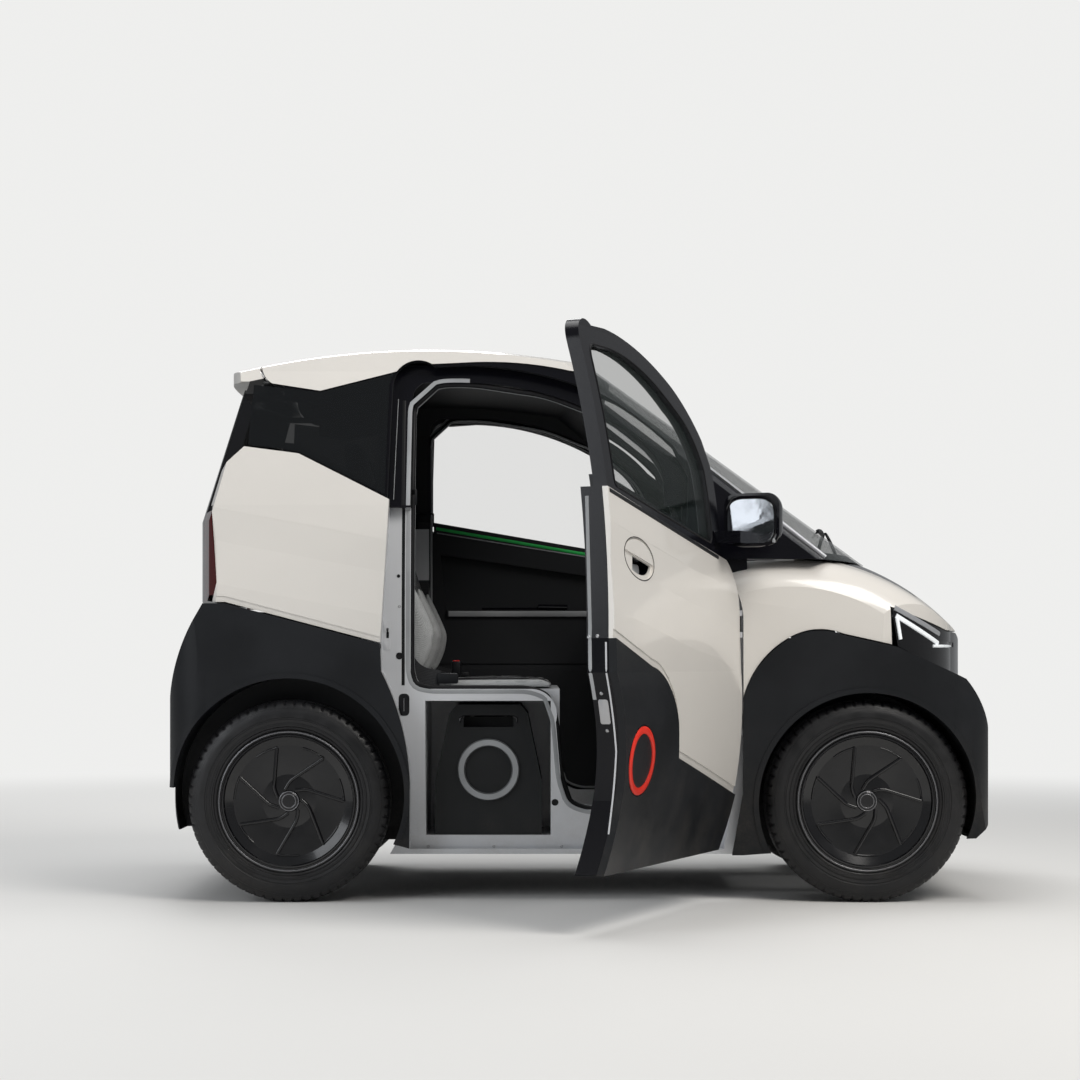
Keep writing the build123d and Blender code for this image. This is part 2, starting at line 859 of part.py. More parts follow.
def dark_pieces(region, upper, x_zone, end_zone, arch, arch_edge):
    """Wall, ledge and arch lip of one end, cut by the arch: the two corners and the middle."""
    body = lower_wall & region(0)
    ledge = (lower_out & region(0)) - region(panel) - upper
    body = body + ledge + (lower_lip & region(0) & arch_edge)
    body = (body & x_zone) - door_prism(door_gap) - arch
    middle = end_zone & block(-big, big, -bumper_half, bumper_half, 0, big)
    gap = block(-big, big, -bumper_half - panel_gap, bumper_half + panel_gap, 0, big)
    return body - gap, body & middle


front_dark = dark_pieces(
    front_clad_region,
    front_body(panel),
    block(400, big, -big, big, 0, big),
    block(front_x, big, -big, big, 0, big),
    wheel_cylinder(front_x, arch_front_r),
    wheel_cylinder(front_x, arch_front_r + arch_lip_wide),
)
rear_dark = dark_pieces(
    rear_clad_region,
    cabin(wall),
    block(-big, -462, -big, big, 0, big),
    block(-big, rear_x, -big, big, 0, big),
    wheel_cylinder(rear_x, arch_rear_r),
    wheel_cylinder(rear_x, arch_rear_r + arch_lip_wide),
)
piece("front_claddings", front_dark[0], dark)
piece("front_bumper", front_dark[1] - tow_hole(tow_front_y), dark)
piece("rear_claddings", rear_dark[0], dark)
piece("rear_bumper", rear_dark[1] - tow_hole(tow_rear_y), dark)

# Front upper body: fenders, bonnet, cowl, lamps and nose panel
front_wall = front_body(0) - front_body(panel)
above_clad = side_prism(
    (456, 570),
    ((front_x - 305, 654), (front_x - 209, 738)),
    ((front_x - 140, 756), (front_x - 69, 744)),
    (front_x + 80, 711),
    (front_x + 236, 639),
    (front_x + 500, 518),
    (front_x + 500, 1300),
    (280, 1300),
    (280, 570),
)
behind_door = side_prism(
    (290, 968),
    ((406, 908), (456, 790)),
    (456, 300),
    (front_x + 500, 300),
    (front_x + 500, 1300),
    (290, 1300),
)
lamp_region = side_prism(
    (front_x + 66, 815),
    (front_x + 244, 752),
    (front_x + 500, 742),
    (front_x + 500, 518),
    (front_x + 236, 639),
    (front_x + 84, 709),
)
front_upper = front_wall & above_clad & behind_door
front_upper = front_upper - block(-big, screen_foot_x, -big, big, greenhouse_foot - fit_gap, big)


def lamp_grown(gap):
    """Side view of the lamps and all below them, grown by a gap."""
    return side_prism(
        (front_x + 66 - gap, 815 + gap),
        (front_x + 244, 752 + gap),
        (front_x + 500, 742 + gap),
        (front_x + 500, 400),
        (front_x + 84 - gap, 400),
    )


painted = front_upper - lamp_grown(panel_gap) - crease
bonnet_half = 452
lamp_half = 330
cowl_x = front_x + 165
cowl_wide = 260
bonnet_zone = block(cowl_x, big, -bonnet_half, bonnet_half, 0, big)
cowl_zone = block(cowl_x - cowl_wide, cowl_x - panel_gap, -bonnet_half, bonnet_half, 0, big)
fender_zone = block(-big, big, -bonnet_half - panel_gap, bonnet_half + panel_gap, 0, big)
piece("bonnet", painted & bonnet_zone, white)
piece("front_fenders", painted - fender_zone, white)
cowl = painted & cowl_zone

piece("cowl", cowl, black)

# Carrier behind the bonnet, the fenders and the lamps
carrier = (front_body(panel + fit_gap) - front_body(panel + 8)) & above_clad
carrier = carrier & block(476, big, -big, big, 500, greenhouse_foot - fit_gap)
carrier = carrier - (lamp_grown(fit_gap) - block(-big, big, -lamp_half, lamp_half, 0, big))
piece("front_carrier", carrier, dark)

lamp_deep = 60
lamp_shell = (front_body(0) - front_body(lamp_deep)) & lamp_region & behind_door
lamp_zone = block(0, big, -lamp_half - panel_gap, lamp_half + panel_gap, 0, big)
nose_zone = block(0, big, -lamp_half, lamp_half, 0, big)
strip_deep = 4
strip_region = side_prism(
    (front_x + 72, 805),
    (front_x + 216, 724),
    (front_x + 400, 716),
    (front_x + 400, 703),
    (front_x + 211, 711),
    (front_x + 85, 782),
    (front_x + 97, 726),
    (front_x + 86, 722),
)
strip_groove = (front_body(0) - front_body(strip_deep)) & strip_region
piece("headlamps", lamp_shell - lamp_zone - strip_groove, black)
piece("nose_panel", lamp_shell & nose_zone & (front_body(2) - front_body(panel)), black)

# Tail lamps and tailgate
tail_lamp_region = side_prism(
    (rear_x - 400, 835),
    (rear_x - 210 - fit_gap, 835),
    (rear_x - 197 - fit_gap, 885),
    (rear_x - 214 - fit_gap, 1085),
    (rear_x - 400, 1085),
)
tail_lamp = (cabin_0 - cabin(wall)) & tail_lamp_region
tail_lamp = tail_lamp - gate_tool(gate_gap, low_z=700) - lower_body(-cladding_proud)
tail_lamp = tail_lamp & block(-big, rear_x - 160, -big, big, 831, big)
piece("tail_lamps", tail_lamp, (0.3, 0.02, 0.02))

gate_clear = block(-big, gate_axis_x - 2, -big, big, 838, big) - gate_cylinder(gate_round)
gate_split = 1092
under_spoiler = roof_barrel(30 + fit_gap)
gate_frame = (cabin_0 - cabin(wall)) & gate_tool(0) & gate_clear & under_spoiler
gate_frame = gate_frame - (block(-big, 0, -big, big, gate_split, big) - cabin_cage)
gate_window = outline(Plane.YZ, (-415, 1135), (415, 1135), (372, 1405), (-372, 1405))
gate_frame = gate_frame - extrude(gate_window, amount=-big / 2)
gate_pane = (cabin_0 - cabin_skin) & gate_tool(-4)
gate_pane = gate_pane & block(-big, gate_axis_x - 40, -big, big, gate_split + fit_gap, 1440)
spoiler_body = (flank_0 & roof_barrel(0)) - roof_barrel(30)
spoiler_x = rear_x - 216
spoiler_rear = curved_cut((spoiler_x, roof_top), (spoiler_x - 0.01, 1300), 2000, 0, -1)
spoiler_region = side_prism(
    (gate_axis_x - 50, 1450),
    (rear_x - 300, 1452),
    (rear_x - 300, roof_top),
    (gate_axis_x + 120, roof_top),
    (gate_axis_x + 120, 1480),
)
spoiler = spoiler_body & spoiler_rear & spoiler_region & gate_clear
spoiler = spoiler & block(-big, gate_axis_x - 40, -big, big, 0, big)
gate_frame = gate_frame + gate_arms
piece("tailgate_frame", gate_frame, black)
piece("tailgate_glass", gate_pane & under_spoiler, tint)
piece("spoiler", spoiler, white)

# Floor pan: floor plate between the sills, with rails to both ends
floor_top = 165
floor_half = 525
floor_rear = -486
floor_front = 470
rail_y = 230
rail_half = 25
rail_top = 240
beam_half = 420
beam_set = 40
beam_low = 200
beam_high = 330
floor = block(floor_rear, floor_front, -floor_half, floor_half, sill_z, floor_top)
for side in (-1, 1):
    y0 = side * rail_y - rail_half
    y1 = side * rail_y + rail_half
    floor = floor + block(floor_front, nose_x - beam_set, y0, y1, sill_z + 20, rail_top)
    floor = floor + block(tail_x + beam_set, floor_rear, y0, y1, sill_z + 20, rail_top)
floor = floor + block(nose_x - beam_set - 2, big, -beam_half, beam_half, beam_low, beam_high)
floor = floor + block(-big, tail_x + beam_set + 6, -beam_half, beam_half, beam_low, beam_high)
side_clear = flank(jamb_inner + fit_gap)
floor = floor & side_clear & lower_body(panel - cladding_proud + fit_gap)

# Tow-eye sockets: a threaded tube through each end beam, behind a hole in the bumper
for face_x, inward, tow_y in ((tow_front_x, -1, tow_front_y), (tow_rear_x, 1, tow_rear_y)):
    at_face = Pos(face_x, tow_y, tow_z)
    tube = Pos(inward * tow_tube_length / 2, 0, 0) * (Rot(0, 90, 0) * Cylinder(tow_boss_r, tow_tube_length))
    bore = Rot(0, 90, 0) * Cylinder(tow_r, 2 * tow_bore_length)
    spot_face = Pos(-inward * tow_boss_r, 0, 0) * (Rot(0, 90, 0) * Cylinder(tow_boss_r, 2 * tow_boss_r))
    floor = (floor + at_face * tube) - at_face * bore - at_face * spot_face
piece("floor_pan", floor, grey)

# Wheelhouses: a round liner with an inner wall over each wheel
front_inner_y = 345
rear_inner_y = 458
liners = []
liner_low = 200
for x, radius, inner_y in ((rear_x, arch_rear_r, rear_inner_y), (front_x, arch_front_r, front_inner_y)):
    outer = wheel_cylinder(x, radius + liner_thick)
    inner = wheel_cylinder(x, radius) & block(-big, big, -big, -inner_y, 0, big)
    liner = (outer - inner) & block(-big, big, -big, -inner_y + liner_thick, liner_low, big)
    liner = liner & lower_body(panel - cladding_proud + fit_gap)
    liner = liner - block(x - 110, x + 110, -inner_y - fit_gap, big, 0, 430)
    liners.append(liner)
    liners.append(mirror(liner, about=Plane.XZ))
piece("wheelhouses", Compound(children=liners), dark)

# Seat box with a battery bay on each side
bay_front = -75
bay_rear = -425
bay_inner = 185
bay_low = 179
seat_box_top = 590
bay_top = 557
seat_box = block(-480, -50, -floor_half, floor_half, floor_top + fit_gap, seat_box_top)
for side in (-1, 1):
    near = side * bay_inner
    far = side * big
    seat_box = seat_box - block(bay_rear, bay_front, min(near, far), max(near, far), bay_low, bay_top)
seat_box = (seat_box & side_clear) - rear_round
piece("seat_box", seat_box, dark)

# Battery packs: a tapered case with a ring on its outer face and a handle recess
battery_x = -250
battery_low = bay_low + fit_gap
battery_high = 545
battery_outer = 500
battery_inner = 200
pack_face = outline(
    Plane.XZ,
    (battery_x - 150, battery_low),
    (battery_x + 150, battery_low),
    (battery_x + 150, battery_low + 150),
    (battery_x + 110, battery_high - 25),
    (battery_x + 90, battery_high),
    (battery_x - 90, battery_high),
    (battery_x - 110, battery_high - 25),
    (battery_x - 150, battery_low + 150),
)
pack = extrude(pack_face, amount=battery_outer) & block(-big, big, -big, -battery_inner, 0, big)
ring_z = 362
ring_outer = 86
ring_inner = 67
ring = Pos(battery_x, -battery_outer, ring_z) * (
    Rot(90, 0, 0) * (Cylinder(ring_outer, 16) - Cylinder(ring_inner, 20))
)
recess = block(battery_x - 70, battery_x + 70, -battery_outer - 1, -battery_outer + 60, 482, 515)
pack = (pack - recess) + ring
piece("battery_packs", both_sides(pack), dark)

# Seats: cushions and backs, soft
seat_y = 262
seat_half = 225
cushion_low = seat_box_top + fit_gap
cushion_high = 668
cushions = []
backs = []
for side in (-1, 1):
    y = side * seat_y
    cushion = block(-440, -62, y - seat_half, y + seat_half, cushion_low, cushion_high)
    cushion = fillet(cushion.edges().filter_by(Axis.Y).group_by(Axis.Z)[-1], 30)
    cushions.append(cushion)
    back_face = outline(
        Plane.XZ,
        (-445, cushion_low),
        (-450, 760),
        ((-480, 900), (-560, 1090)),
        (-640, 1100),
        ((-560, 860), (-520, 640)),
        (-478, cushion_low),
    )
    back = extrude(back_face, amount=seat_half, both=True)
    head_face = outline(
        Plane.XZ,
        (-565, 1100),
        (-618, 1270),
        ((-640, 1300), (-670, 1290)),
        (-655, 1200),
        (-638, 1100),
    )
    head = extrude(head_face, amount=120, both=True)
    backs.append(Pos(0, y, 0) * (back + head))
piece("seat_cushions", Compound(children=cushions), (0.15, 0.15, 0.16))
piece("seat_backs", Compound(children=backs), (0.3, 0.3, 0.31))

# Boot floor over the rear wheels, and the motor at the rear axle
boot_z = 640
boot_front = -535
boot = block(tail_x + 51, -600 - fit_gap, -600, 600, boot_z, boot_z + 16) & cabin(wall_back)
boot = boot + (block(-610, boot_front, -600, 600, boot_z, boot_z + 16) & side_clear)
boot = boot + (block(boot_front - 20, boot_front, -430, 430, 340, boot_z + 8) & side_clear)
piece("boot_floor", boot, dark)
motor = Pos(rear_x + 40, 0, hub_z + 20) * (Rot(90, 0, 0) * Cylinder(105, 300))
motor = motor + block(rear_x - 90, rear_x + 60, 60, 150, 190, 400)
motor = motor + block(rear_x + 100, rear_x + 160 - fit_gap, -60, 60, rail_top + 5, rail_top + 40)
piece("motor", motor, grey)

# Dashboard with the column bracket, steering column and steering wheel on the left
dash_rear = 235
dash_front = 470
dash_face = outline(
    Plane.XZ,
    (dash_rear + 30, 760),
    ((dash_rear, 830), (dash_rear + 25, 900)),
    (dash_rear + 90, 930),
    (dash_front + 150, 905),
    (dash_front + 150, 880),
    (dash_front, 700),
    (dash_rear + 60, 720),
)
dash = extrude(dash_face, amount=500, both=True)
firewall = block(dash_front, dash_front + 18, -500, 500, floor_top + fit_gap, 720)
dash = dash & (front_body(panel + 8 + fit_gap) + block(-big, bonnet_axis_x - 285, -big, big, 0, big))
dash = (dash + firewall) & flank(jamb_inner + 12)
rail_clear = rail_half + fit_gap
for y in (-rail_y, rail_y):
    dash = dash - block(0, big, y - rail_clear, y + rail_clear, 0, rail_top + fit_gap)
piece("dashboard", dash, dark)

steer_y = 262
column_tilt = 24
wheel_ring_r = 172
wheel_rim_r = 13
column_low = (dash_rear + 26, 0, 838)
column_dir = Vector(-cos(radians(column_tilt)), 0, sin(radians(column_tilt)))
column_plane = Plane(
    origin=(column_low[0], steer_y, column_low[2]), x_dir=(0, 1, 0), z_dir=tuple(column_dir)
)
column_length = 78
column = extrude(column_plane.offset(-20) * Circle(36), amount=column_length + 20)
stalk = extrude(column_plane.offset(44) * Rectangle(260, 14), amount=14)
column_part = (column + stalk) - dash
piece("steering_column", column_part, dark)

wheel_plane = column_plane.offset(column_length + fit_gap)
steering = wheel_plane * (Pos(0, 0, 26) * Torus(wheel_ring_r, wheel_rim_r))
steering = steering + extrude(wheel_plane * RectangleRounded(120, 92, 26), amount=34)
for angle in (0, 180, 270):
    spoke = Pos(wheel_ring_r / 2 + 8, 0, 18) * Box(wheel_ring_r - 30, 34, 14)
    steering = steering + wheel_plane * (Rot(0, 0, angle) * spoke)
piece("steering_wheel", steering, dark)

# Wheels: rim with a ribbed cover, and a tyre
rim_barrel_r = tyre_bead_radius - 12
rim_well_r = tyre_bead_radius - 28
rim_outer_y = 68
rim_inner_y = -72
cover_y = 52
cover_ring_r = tyre_bead_radius - 10
cover_thick = 8
hub_r = 34
hub_bore_r = 21
hub_ring_r = 27
hub_dome_y = 10
rib_high = 5
rib_wide = 5
rib_inner_r = 34
rib_bend_r = 56
rib_outer_r = 152
rib_start = 58
rib_bend = 36


def polar(radius, angle):
    """Point from a radius and an angle in degrees."""
    return (radius * cos(radians(angle)), radius * sin(radians(angle)))


def wheel_rim():
    """Rim, disc and cover about the Y axis, with its outer face towards +Y."""
    face_y = cover_y - 4
    section = outline(
        Plane.XY,
        (rim_well_r, rim_inner_y + 8),
        (tyre_bead_radius, rim_inner_y),
        (tyre_bead_radius, rim_inner_y + 6),
        (rim_barrel_r, rim_inner_y + 14),
        (rim_barrel_r, rim_inner_y + 30),
        (rim_barrel_r - 12, rim_inner_y + 45),
        (rim_barrel_r - 12, rim_outer_y - 45),
        (rim_barrel_r, rim_outer_y - 30),
        (rim_barrel_r, rim_outer_y - 12),
        (tyre_bead_radius, rim_outer_y - 4),
        (tyre_bead_radius, rim_outer_y + 2),
        (tyre_bead_radius - 5, rim_outer_y + 2),
        (tyre_bead_radius - 7, rim_outer_y - 4),
        (cover_ring_r, rim_outer_y - 4),
        (cover_ring_r - 2, rim_outer_y),
        (cover_ring_r - 6, rim_outer_y),
        (cover_ring_r - 9, rim_outer_y - 8),
        (rim_well_r - 14, face_y + 3),
        (hub_r + 40, face_y),
        (hub_ring_r + 3, face_y + 1),
        (hub_ring_r, face_y + hub_dome_y - 2),
        (hub_ring_r - 3, face_y + hub_dome_y),
        (0, face_y + hub_dome_y),
        (0, face_y - cover_thick),
        (hub_bore_r, face_y - cover_thick),
        (hub_bore_r, 0),
        (hub_r, 0),
        (hub_r, face_y - cover_thick),
        (rim_well_r - 18, face_y - cover_thick),
        (rim_well_r - 6, rim_outer_y - 34),
        (rim_well_r - 6, rim_inner_y + 8),
    )
    body = revolve(section, axis=Axis.Y)
    rib_line = Polyline(polar(rib_inner_r, rib_start), polar(rib_bend_r, rib_bend), polar(rib_outer_r, 0))
    rib_face = Plane.XZ.offset(-face_y - rib_high) * make_face(offset(rib_line, rib_wide / 2))
    rib = extrude(rib_face, amount=rib_high + cover_thick / 2)
    for n in range(cover_ribs):
        body = body + rib.rotate(Axis.Y, n * 360 / cover_ribs)
    return body


def tyre_body():
    """Tyre about the Y axis."""
    half = tyre_width / 2
    section = outline(
        Plane.XY,
        (tyre_bead_radius + fit_gap, -half + 8),
        (tyre_bead_radius + 14, -half + 2),
        (tyre_bead_radius + 36, -half),
        (tyre_radius - 28, -half + 3),
        (tyre_radius - 10, -half + 10),
        (tyre_radius - 2, -half + 20),
        (tyre_radius, -half + 30),
        (tyre_radius, half - 30),
        (tyre_radius - 2, half - 20),
        (tyre_radius - 10, half - 10),
        (tyre_radius - 28, half - 3),
        (tyre_bead_radius + 36, half),
        (tyre_bead_radius + 14, half - 2),
        (tyre_bead_radius + fit_gap, half - 8),
        (tyre_bead_radius + fit_gap, half - 26),
        (tyre_radius - 30, half - 20),
        (tyre_radius - 22, half - 40),
        (tyre_radius - 22, 40 - half),
        (tyre_radius - 30, 20 - half),
        (tyre_bead_radius + fit_gap, 26 - half),
    )
    return revolve(section, axis=Axis.Y)


rim_left = wheel_rim()
tyre = tyre_body()
corners = {
    "front_right": (front_x, -1),
    "front_left": (front_x, 1),
    "rear_right": (rear_x, -1),
    "rear_left": (rear_x, 1),
}
for name, (x, side) in corners.items():
    place = Pos(x, side * wheel_y, hub_z)
    rim = rim_left if side > 0 else mirror(rim_left, about=Plane.XZ)
    piece("rim_" + name, place * rim, black)
    piece("tyre_" + name, place * tyre, (0.06, 0.06, 0.06))

# Steered knuckles: an upright inside the rim with a stub axle and two pivot pins
pivot_rise = 95
pivot_high = hub_z + pivot_rise
pivot_low = hub_z - pivot_rise
stub_r = 20


def knuckle():
    """Right-hand knuckle at its wheel centre."""
    shelf = pivot_rise - 11
    body = block(-26, 26, 3, 33, -shelf, shelf)
    body = body + block(-18, 18, -14, 33, shelf - 12, shelf) + block(-18, 18, -14, 33, -shelf, 12 - shelf)
    stub = Pos(0, -10.5, 0) * (Rot(90, 0, 0) * Cylinder(stub_r, 28))
    pin_top = Pos(0, 0, pivot_rise) * Cylinder(10, 26)
    pin_low = Pos(0, 0, -pivot_rise) * Cylinder(10, 26)
    steering_arm = block(-110, 0, 16, 32, -50, -34)
    return body + stub + pin_top + pin_low + steering_arm


right_knuckle = Pos(front_x, -wheel_y, hub_z) * knuckle()
piece("knuckle_right", right_knuckle, grey)
piece("knuckle_left", mirror(right_knuckle, about=Plane.XZ), grey)

# Front suspension: arms to the pivots, dampers, and a cross member on the rails
arm_inner_y = 262
parts = []
for z, half in ((pivot_high, 9), (pivot_low, 9)):
    eye = Pos(front_x, -wheel_y, z) * Cylinder(20, 2 * half)
    arm = Plane.XY.offset(z - half) * make_face(
        Polyline(
            (front_x - 14, -wheel_y),
            (front_x - 80, -arm_inner_y),
            (front_x - 50, -arm_inner_y),
            (front_x - 14, -wheel_y + 190),
            (front_x + 14, -wheel_y + 190),
            (front_x + 50, -arm_inner_y),
            (front_x + 80, -arm_inner_y),
            (front_x + 14, -wheel_y),
            close=True,
        )
    )
    arm = extrude(arm, amount=2 * half) + eye
    bore = Pos(front_x, -wheel_y, z) * Cylinder(10 + fit_gap, 100)
    parts.append(arm - bore)
tower = block(front_x - 95, front_x + 95, -arm_inner_y - 14, -arm_inner_y - 4, 170, 560)
damper_foot = Vector(front_x, -318, pivot_low + 9)
damper_top = Vector(front_x, -292, 560)
damper_dir = (damper_top - damper_foot).normalized()
damper_plane = Plane(origin=tuple(damper_foot), z_dir=tuple(damper_dir))
damper_length = (damper_top - damper_foot).length
damper = extrude(damper_plane * Circle(16), amount=damper_length)
spring = extrude(damper_plane.offset(damper_length * 0.42) * Circle(36), amount=damper_length * 0.48)
crown = block(front_x - 60, front_x + 60, -334, -arm_inner_y - 4, 545, 575)
corner = tower + crown + damper + spring + parts[0] + parts[1]
cross = block(
    front_x - 95, front_x + 95, -arm_inner_y - 10, arm_inner_y + 10, rail_top + fit_gap, rail_top + 40
)
suspension = (corner + mirror(corner, about=Plane.XZ) + cross)
piece("front_suspension", suspension, grey)

# Rear suspension: trailing arms, stub axles, dampers and a cross beam on the rails
arm = block(rear_x - 30, rear_x + 190, -430, -390, hub_z - 25, hub_z + 25)
hub_plate = Pos(rear_x, -wheel_y + 40, hub_z) * (Rot(90, 0, 0) * Cylinder(62, 30))
axle_in = -400
axle_out = -wheel_y - 24
axle = Pos(rear_x, (axle_in + axle_out) / 2, hub_z) * (Rot(90, 0, 0) * Cylinder(stub_r, axle_in - axle_out))
beam = block(rear_x + 160, rear_x + 200, -430, 0, rail_top + fit_gap, rail_top + 45)
rear_damper = Pos(rear_x - 50, -410, 470) * Cylinder(26, 330)
rear_corner = arm + hub_plate + axle + beam + rear_damper
rear_suspension = rear_corner + mirror(rear_corner, about=Plane.XZ)
piece("rear_suspension", rear_suspension, grey)

for name, solid in shapes.items():
    export_step(solid, "parts/" + name + ".step")
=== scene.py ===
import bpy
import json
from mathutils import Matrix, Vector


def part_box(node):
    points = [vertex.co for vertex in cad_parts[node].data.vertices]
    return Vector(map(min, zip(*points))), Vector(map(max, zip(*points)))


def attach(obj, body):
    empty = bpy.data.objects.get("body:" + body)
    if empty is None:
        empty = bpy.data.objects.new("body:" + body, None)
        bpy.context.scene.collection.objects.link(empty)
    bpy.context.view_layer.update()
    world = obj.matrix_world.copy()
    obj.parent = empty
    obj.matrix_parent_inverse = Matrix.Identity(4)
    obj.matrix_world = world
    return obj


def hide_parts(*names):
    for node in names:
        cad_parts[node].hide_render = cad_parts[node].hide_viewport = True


bl_info = {
    "name": "Electric Microcar",
    "version": (1, 0, 0),
    "blender": (4, 5, 0),
    "location": "View3D > Sidebar > Microcar",
    "description": "Dresses a two-seat electric microcar: paint, trim, lamps, seats, tyres and studio",
    "category": "Object",
}

import json
from math import cos, pi, radians, sin

import bmesh
import bpy
from bpy.props import FloatProperty, FloatVectorProperty, IntProperty, PointerProperty
from mathutils import Matrix, Vector
from mathutils.geometry import convex_hull_2d
from mathutils.bvhtree import BVHTree

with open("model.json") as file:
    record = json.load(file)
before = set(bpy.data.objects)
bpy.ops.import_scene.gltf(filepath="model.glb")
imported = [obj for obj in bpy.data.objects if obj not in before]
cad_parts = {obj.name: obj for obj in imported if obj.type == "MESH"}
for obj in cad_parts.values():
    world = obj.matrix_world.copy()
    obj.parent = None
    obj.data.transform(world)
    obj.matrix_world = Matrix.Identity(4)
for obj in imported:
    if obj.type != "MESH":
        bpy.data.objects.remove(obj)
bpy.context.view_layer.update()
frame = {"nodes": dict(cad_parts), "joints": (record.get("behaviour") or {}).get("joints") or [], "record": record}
NODES = frame["nodes"]

# Places taken from the frame, in metres
SIDES = {"right": -1, "left": 1}
JOINTS = {joint["name"]: joint for joint in frame["joints"]}
HINGE = Vector(JOINTS["right_door_hinge"]["pos_m"])
DOOR_SWING = radians(-JOINTS["right_door_hinge"]["range_deg"][0])
TYRE_LOW, TYRE_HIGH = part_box("tyre_front_right")
TYRE_RADIUS = (TYRE_HIGH.z - TYRE_LOW.z) / 2
TYRE_WIDTH = TYRE_HIGH.y - TYRE_LOW.y
TYRE_BEAD = 0.196
WHEEL_Y = (TYRE_HIGH.y + TYRE_LOW.y) / 2
FRONT_X = (TYRE_HIGH.x + TYRE_LOW.x) / 2
REAR_LOW, REAR_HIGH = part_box("tyre_rear_right")
REAR_X = (REAR_HIGH.x + REAR_LOW.x) / 2
ENDS = {"front": FRONT_X, "rear": REAR_X}
HUB_Z = (TYRE_HIGH.z + TYRE_LOW.z) / 2
CABIN_CENTRE = Vector((-0.3, 0.0, 1.0))
SEAT_Y = 0.262
SEAT_HALF = 0.225
DOOR_CENTRE = Vector((-0.1, 0.0, 0.9))
MIRROR = Matrix.Scale(-1, 4, (0, 1, 0))
FORWARD = Vector((1, 0, 0))
DOWN = Vector((0, 0, -1))


# Sizes and colours that a user would change
def colour(name, text, value):
    """A colour setting."""
    return FloatVectorProperty(
        name=name, description=text, subtype="COLOR", size=3, default=value, min=0, max=1)


def length(name, text, value):
    """A length setting in metres."""
    return FloatProperty(name=name, description=text, subtype="DISTANCE", unit="LENGTH", default=value, min=0)


def number(name, text, value, low=0.0):
    """A plain number."""
    return FloatProperty(name=name, description=text, default=value, min=low)


def share(name, text, value):
    """A setting from 0 to 1."""
    return FloatProperty(name=name, description=text, subtype="FACTOR", default=value, min=0, max=1)


class MicrocarFinish(bpy.types.PropertyGroup):
    """Colours and gloss of the car's finishes."""

    body: colour("Body", "Warm off-white body paint", (0.74, 0.71, 0.665))
    cladding: colour("Cladding", "Moulded lower panels", (0.010, 0.011, 0.013))
    frame_white: colour("Door frame", "Paint of the door jambs and sills", (0.62, 0.63, 0.65))
    trim: colour("Gloss trim", "Gloss black pillars and frames", (0.004, 0.004, 0.006))
    cabin: colour("Cabin plastic", "Dashboard and door linings", (0.018, 0.019, 0.021))
    seat: colour("Seat cloth", "Dark seat cloth", (0.032, 0.033, 0.036))
    bolster: colour("Seat bolster", "Light grey edge of the seat backs", (0.52, 0.53, 0.53))
    ring_red: colour("Ring", "Plain ring on the doors", (0.75, 0.035, 0.02))
    accent: colour("Accent", "Stripe along the door linings", (0.03, 0.50, 0.10))
    body_gloss: share("Body roughness", "Roughness of the body paint", 0.32)
    dust: share("Dust", "Dust on the lower panels and tyres", 0.12)


class MicrocarTyres(bpy.types.PropertyGroup):
    """Tyre tread."""

    blocks: IntProperty(
        name="Tread blocks", description="Blocks round each shoulder", default=64, min=8, max=200)
    groove: length("Groove depth", "Depth of the tread grooves", 0.006)


class MicrocarSeats(bpy.types.PropertyGroup):
    """Seat padding."""

    voxel: length("Voxel", "Voxel of the padding's mesh", 0.006)
    pressure: number("Pressure", "Pressure that fills the padding", 4.0)
    piping: length("Piping", "Radius of the seam piping", 0.003)


class MicrocarStudio(bpy.types.PropertyGroup):
    """Camera, floor and lights."""

    focal: number("Focal length", "Focal length in millimetres", 77.3, 10)
    distance: length("Distance", "Camera's distance from the centre plane", 7.03)
    height: length("Height", "Camera's height", 0.665)
    offset: FloatProperty(
        name="Offset", description="Camera's X", subtype="DISTANCE", unit="LENGTH", default=-0.105)
    shift: number("Shift", "Vertical lens shift", 0.113, -1)
    floor: colour("Floor", "Pale floor", (0.74, 0.735, 0.72))
    backdrop: colour("Backdrop", "Pale backdrop", (0.86, 0.86, 0.85))
    key: number("Key light", "Power of the key light in watts", 190)
    world: number("Surround", "Strength of the light all round", 0.31)


def settings(group):
    """The add-on's settings of one group."""
    return getattr(bpy.context.scene, "microcar_" + group)


# Shader helpers
HEIGHT_AND_MASK = (("Height", "Float"), ("Mask", "Float"))


def feed(tree, socket, given):
    """Links an output to a socket, or sets the socket's value."""
    if hasattr(given, "is_output"):
        tree.links.new(given, socket)
    else:
        socket.default_value = given


def node(tree, kind, **values):
    """New node with its attributes, and its sockets by name or place."""
    made = tree.nodes.new(kind)
    for key, value in values.items():
        if key == "inputs":
            for name, given in value.items():
                feed(tree, made.inputs[name], given)
        else:
            setattr(made, key, value)
    return made


def group_tree(name, inputs, outputs):
    """New shader node group with float inputs and the outputs given as (name, kind)."""
    tree = bpy.data.node_groups.new(name, "ShaderNodeTree")
    for label, value in inputs.items():
        socket = tree.interface.new_socket(label, in_out="INPUT", socket_type="NodeSocketFloat")
        socket.default_value = value
    for label, kind in outputs:
        tree.interface.new_socket(label, in_out="OUTPUT", socket_type="NodeSocket" + kind)
    entry = tree.nodes.new("NodeGroupInput")
    leave = tree.nodes.new("NodeGroupOutput")
    return tree, entry.outputs, leave.inputs


def position(tree):
    """Place on the object, in metres."""
    return node(tree, "ShaderNodeTexCoord").outputs["Object"]


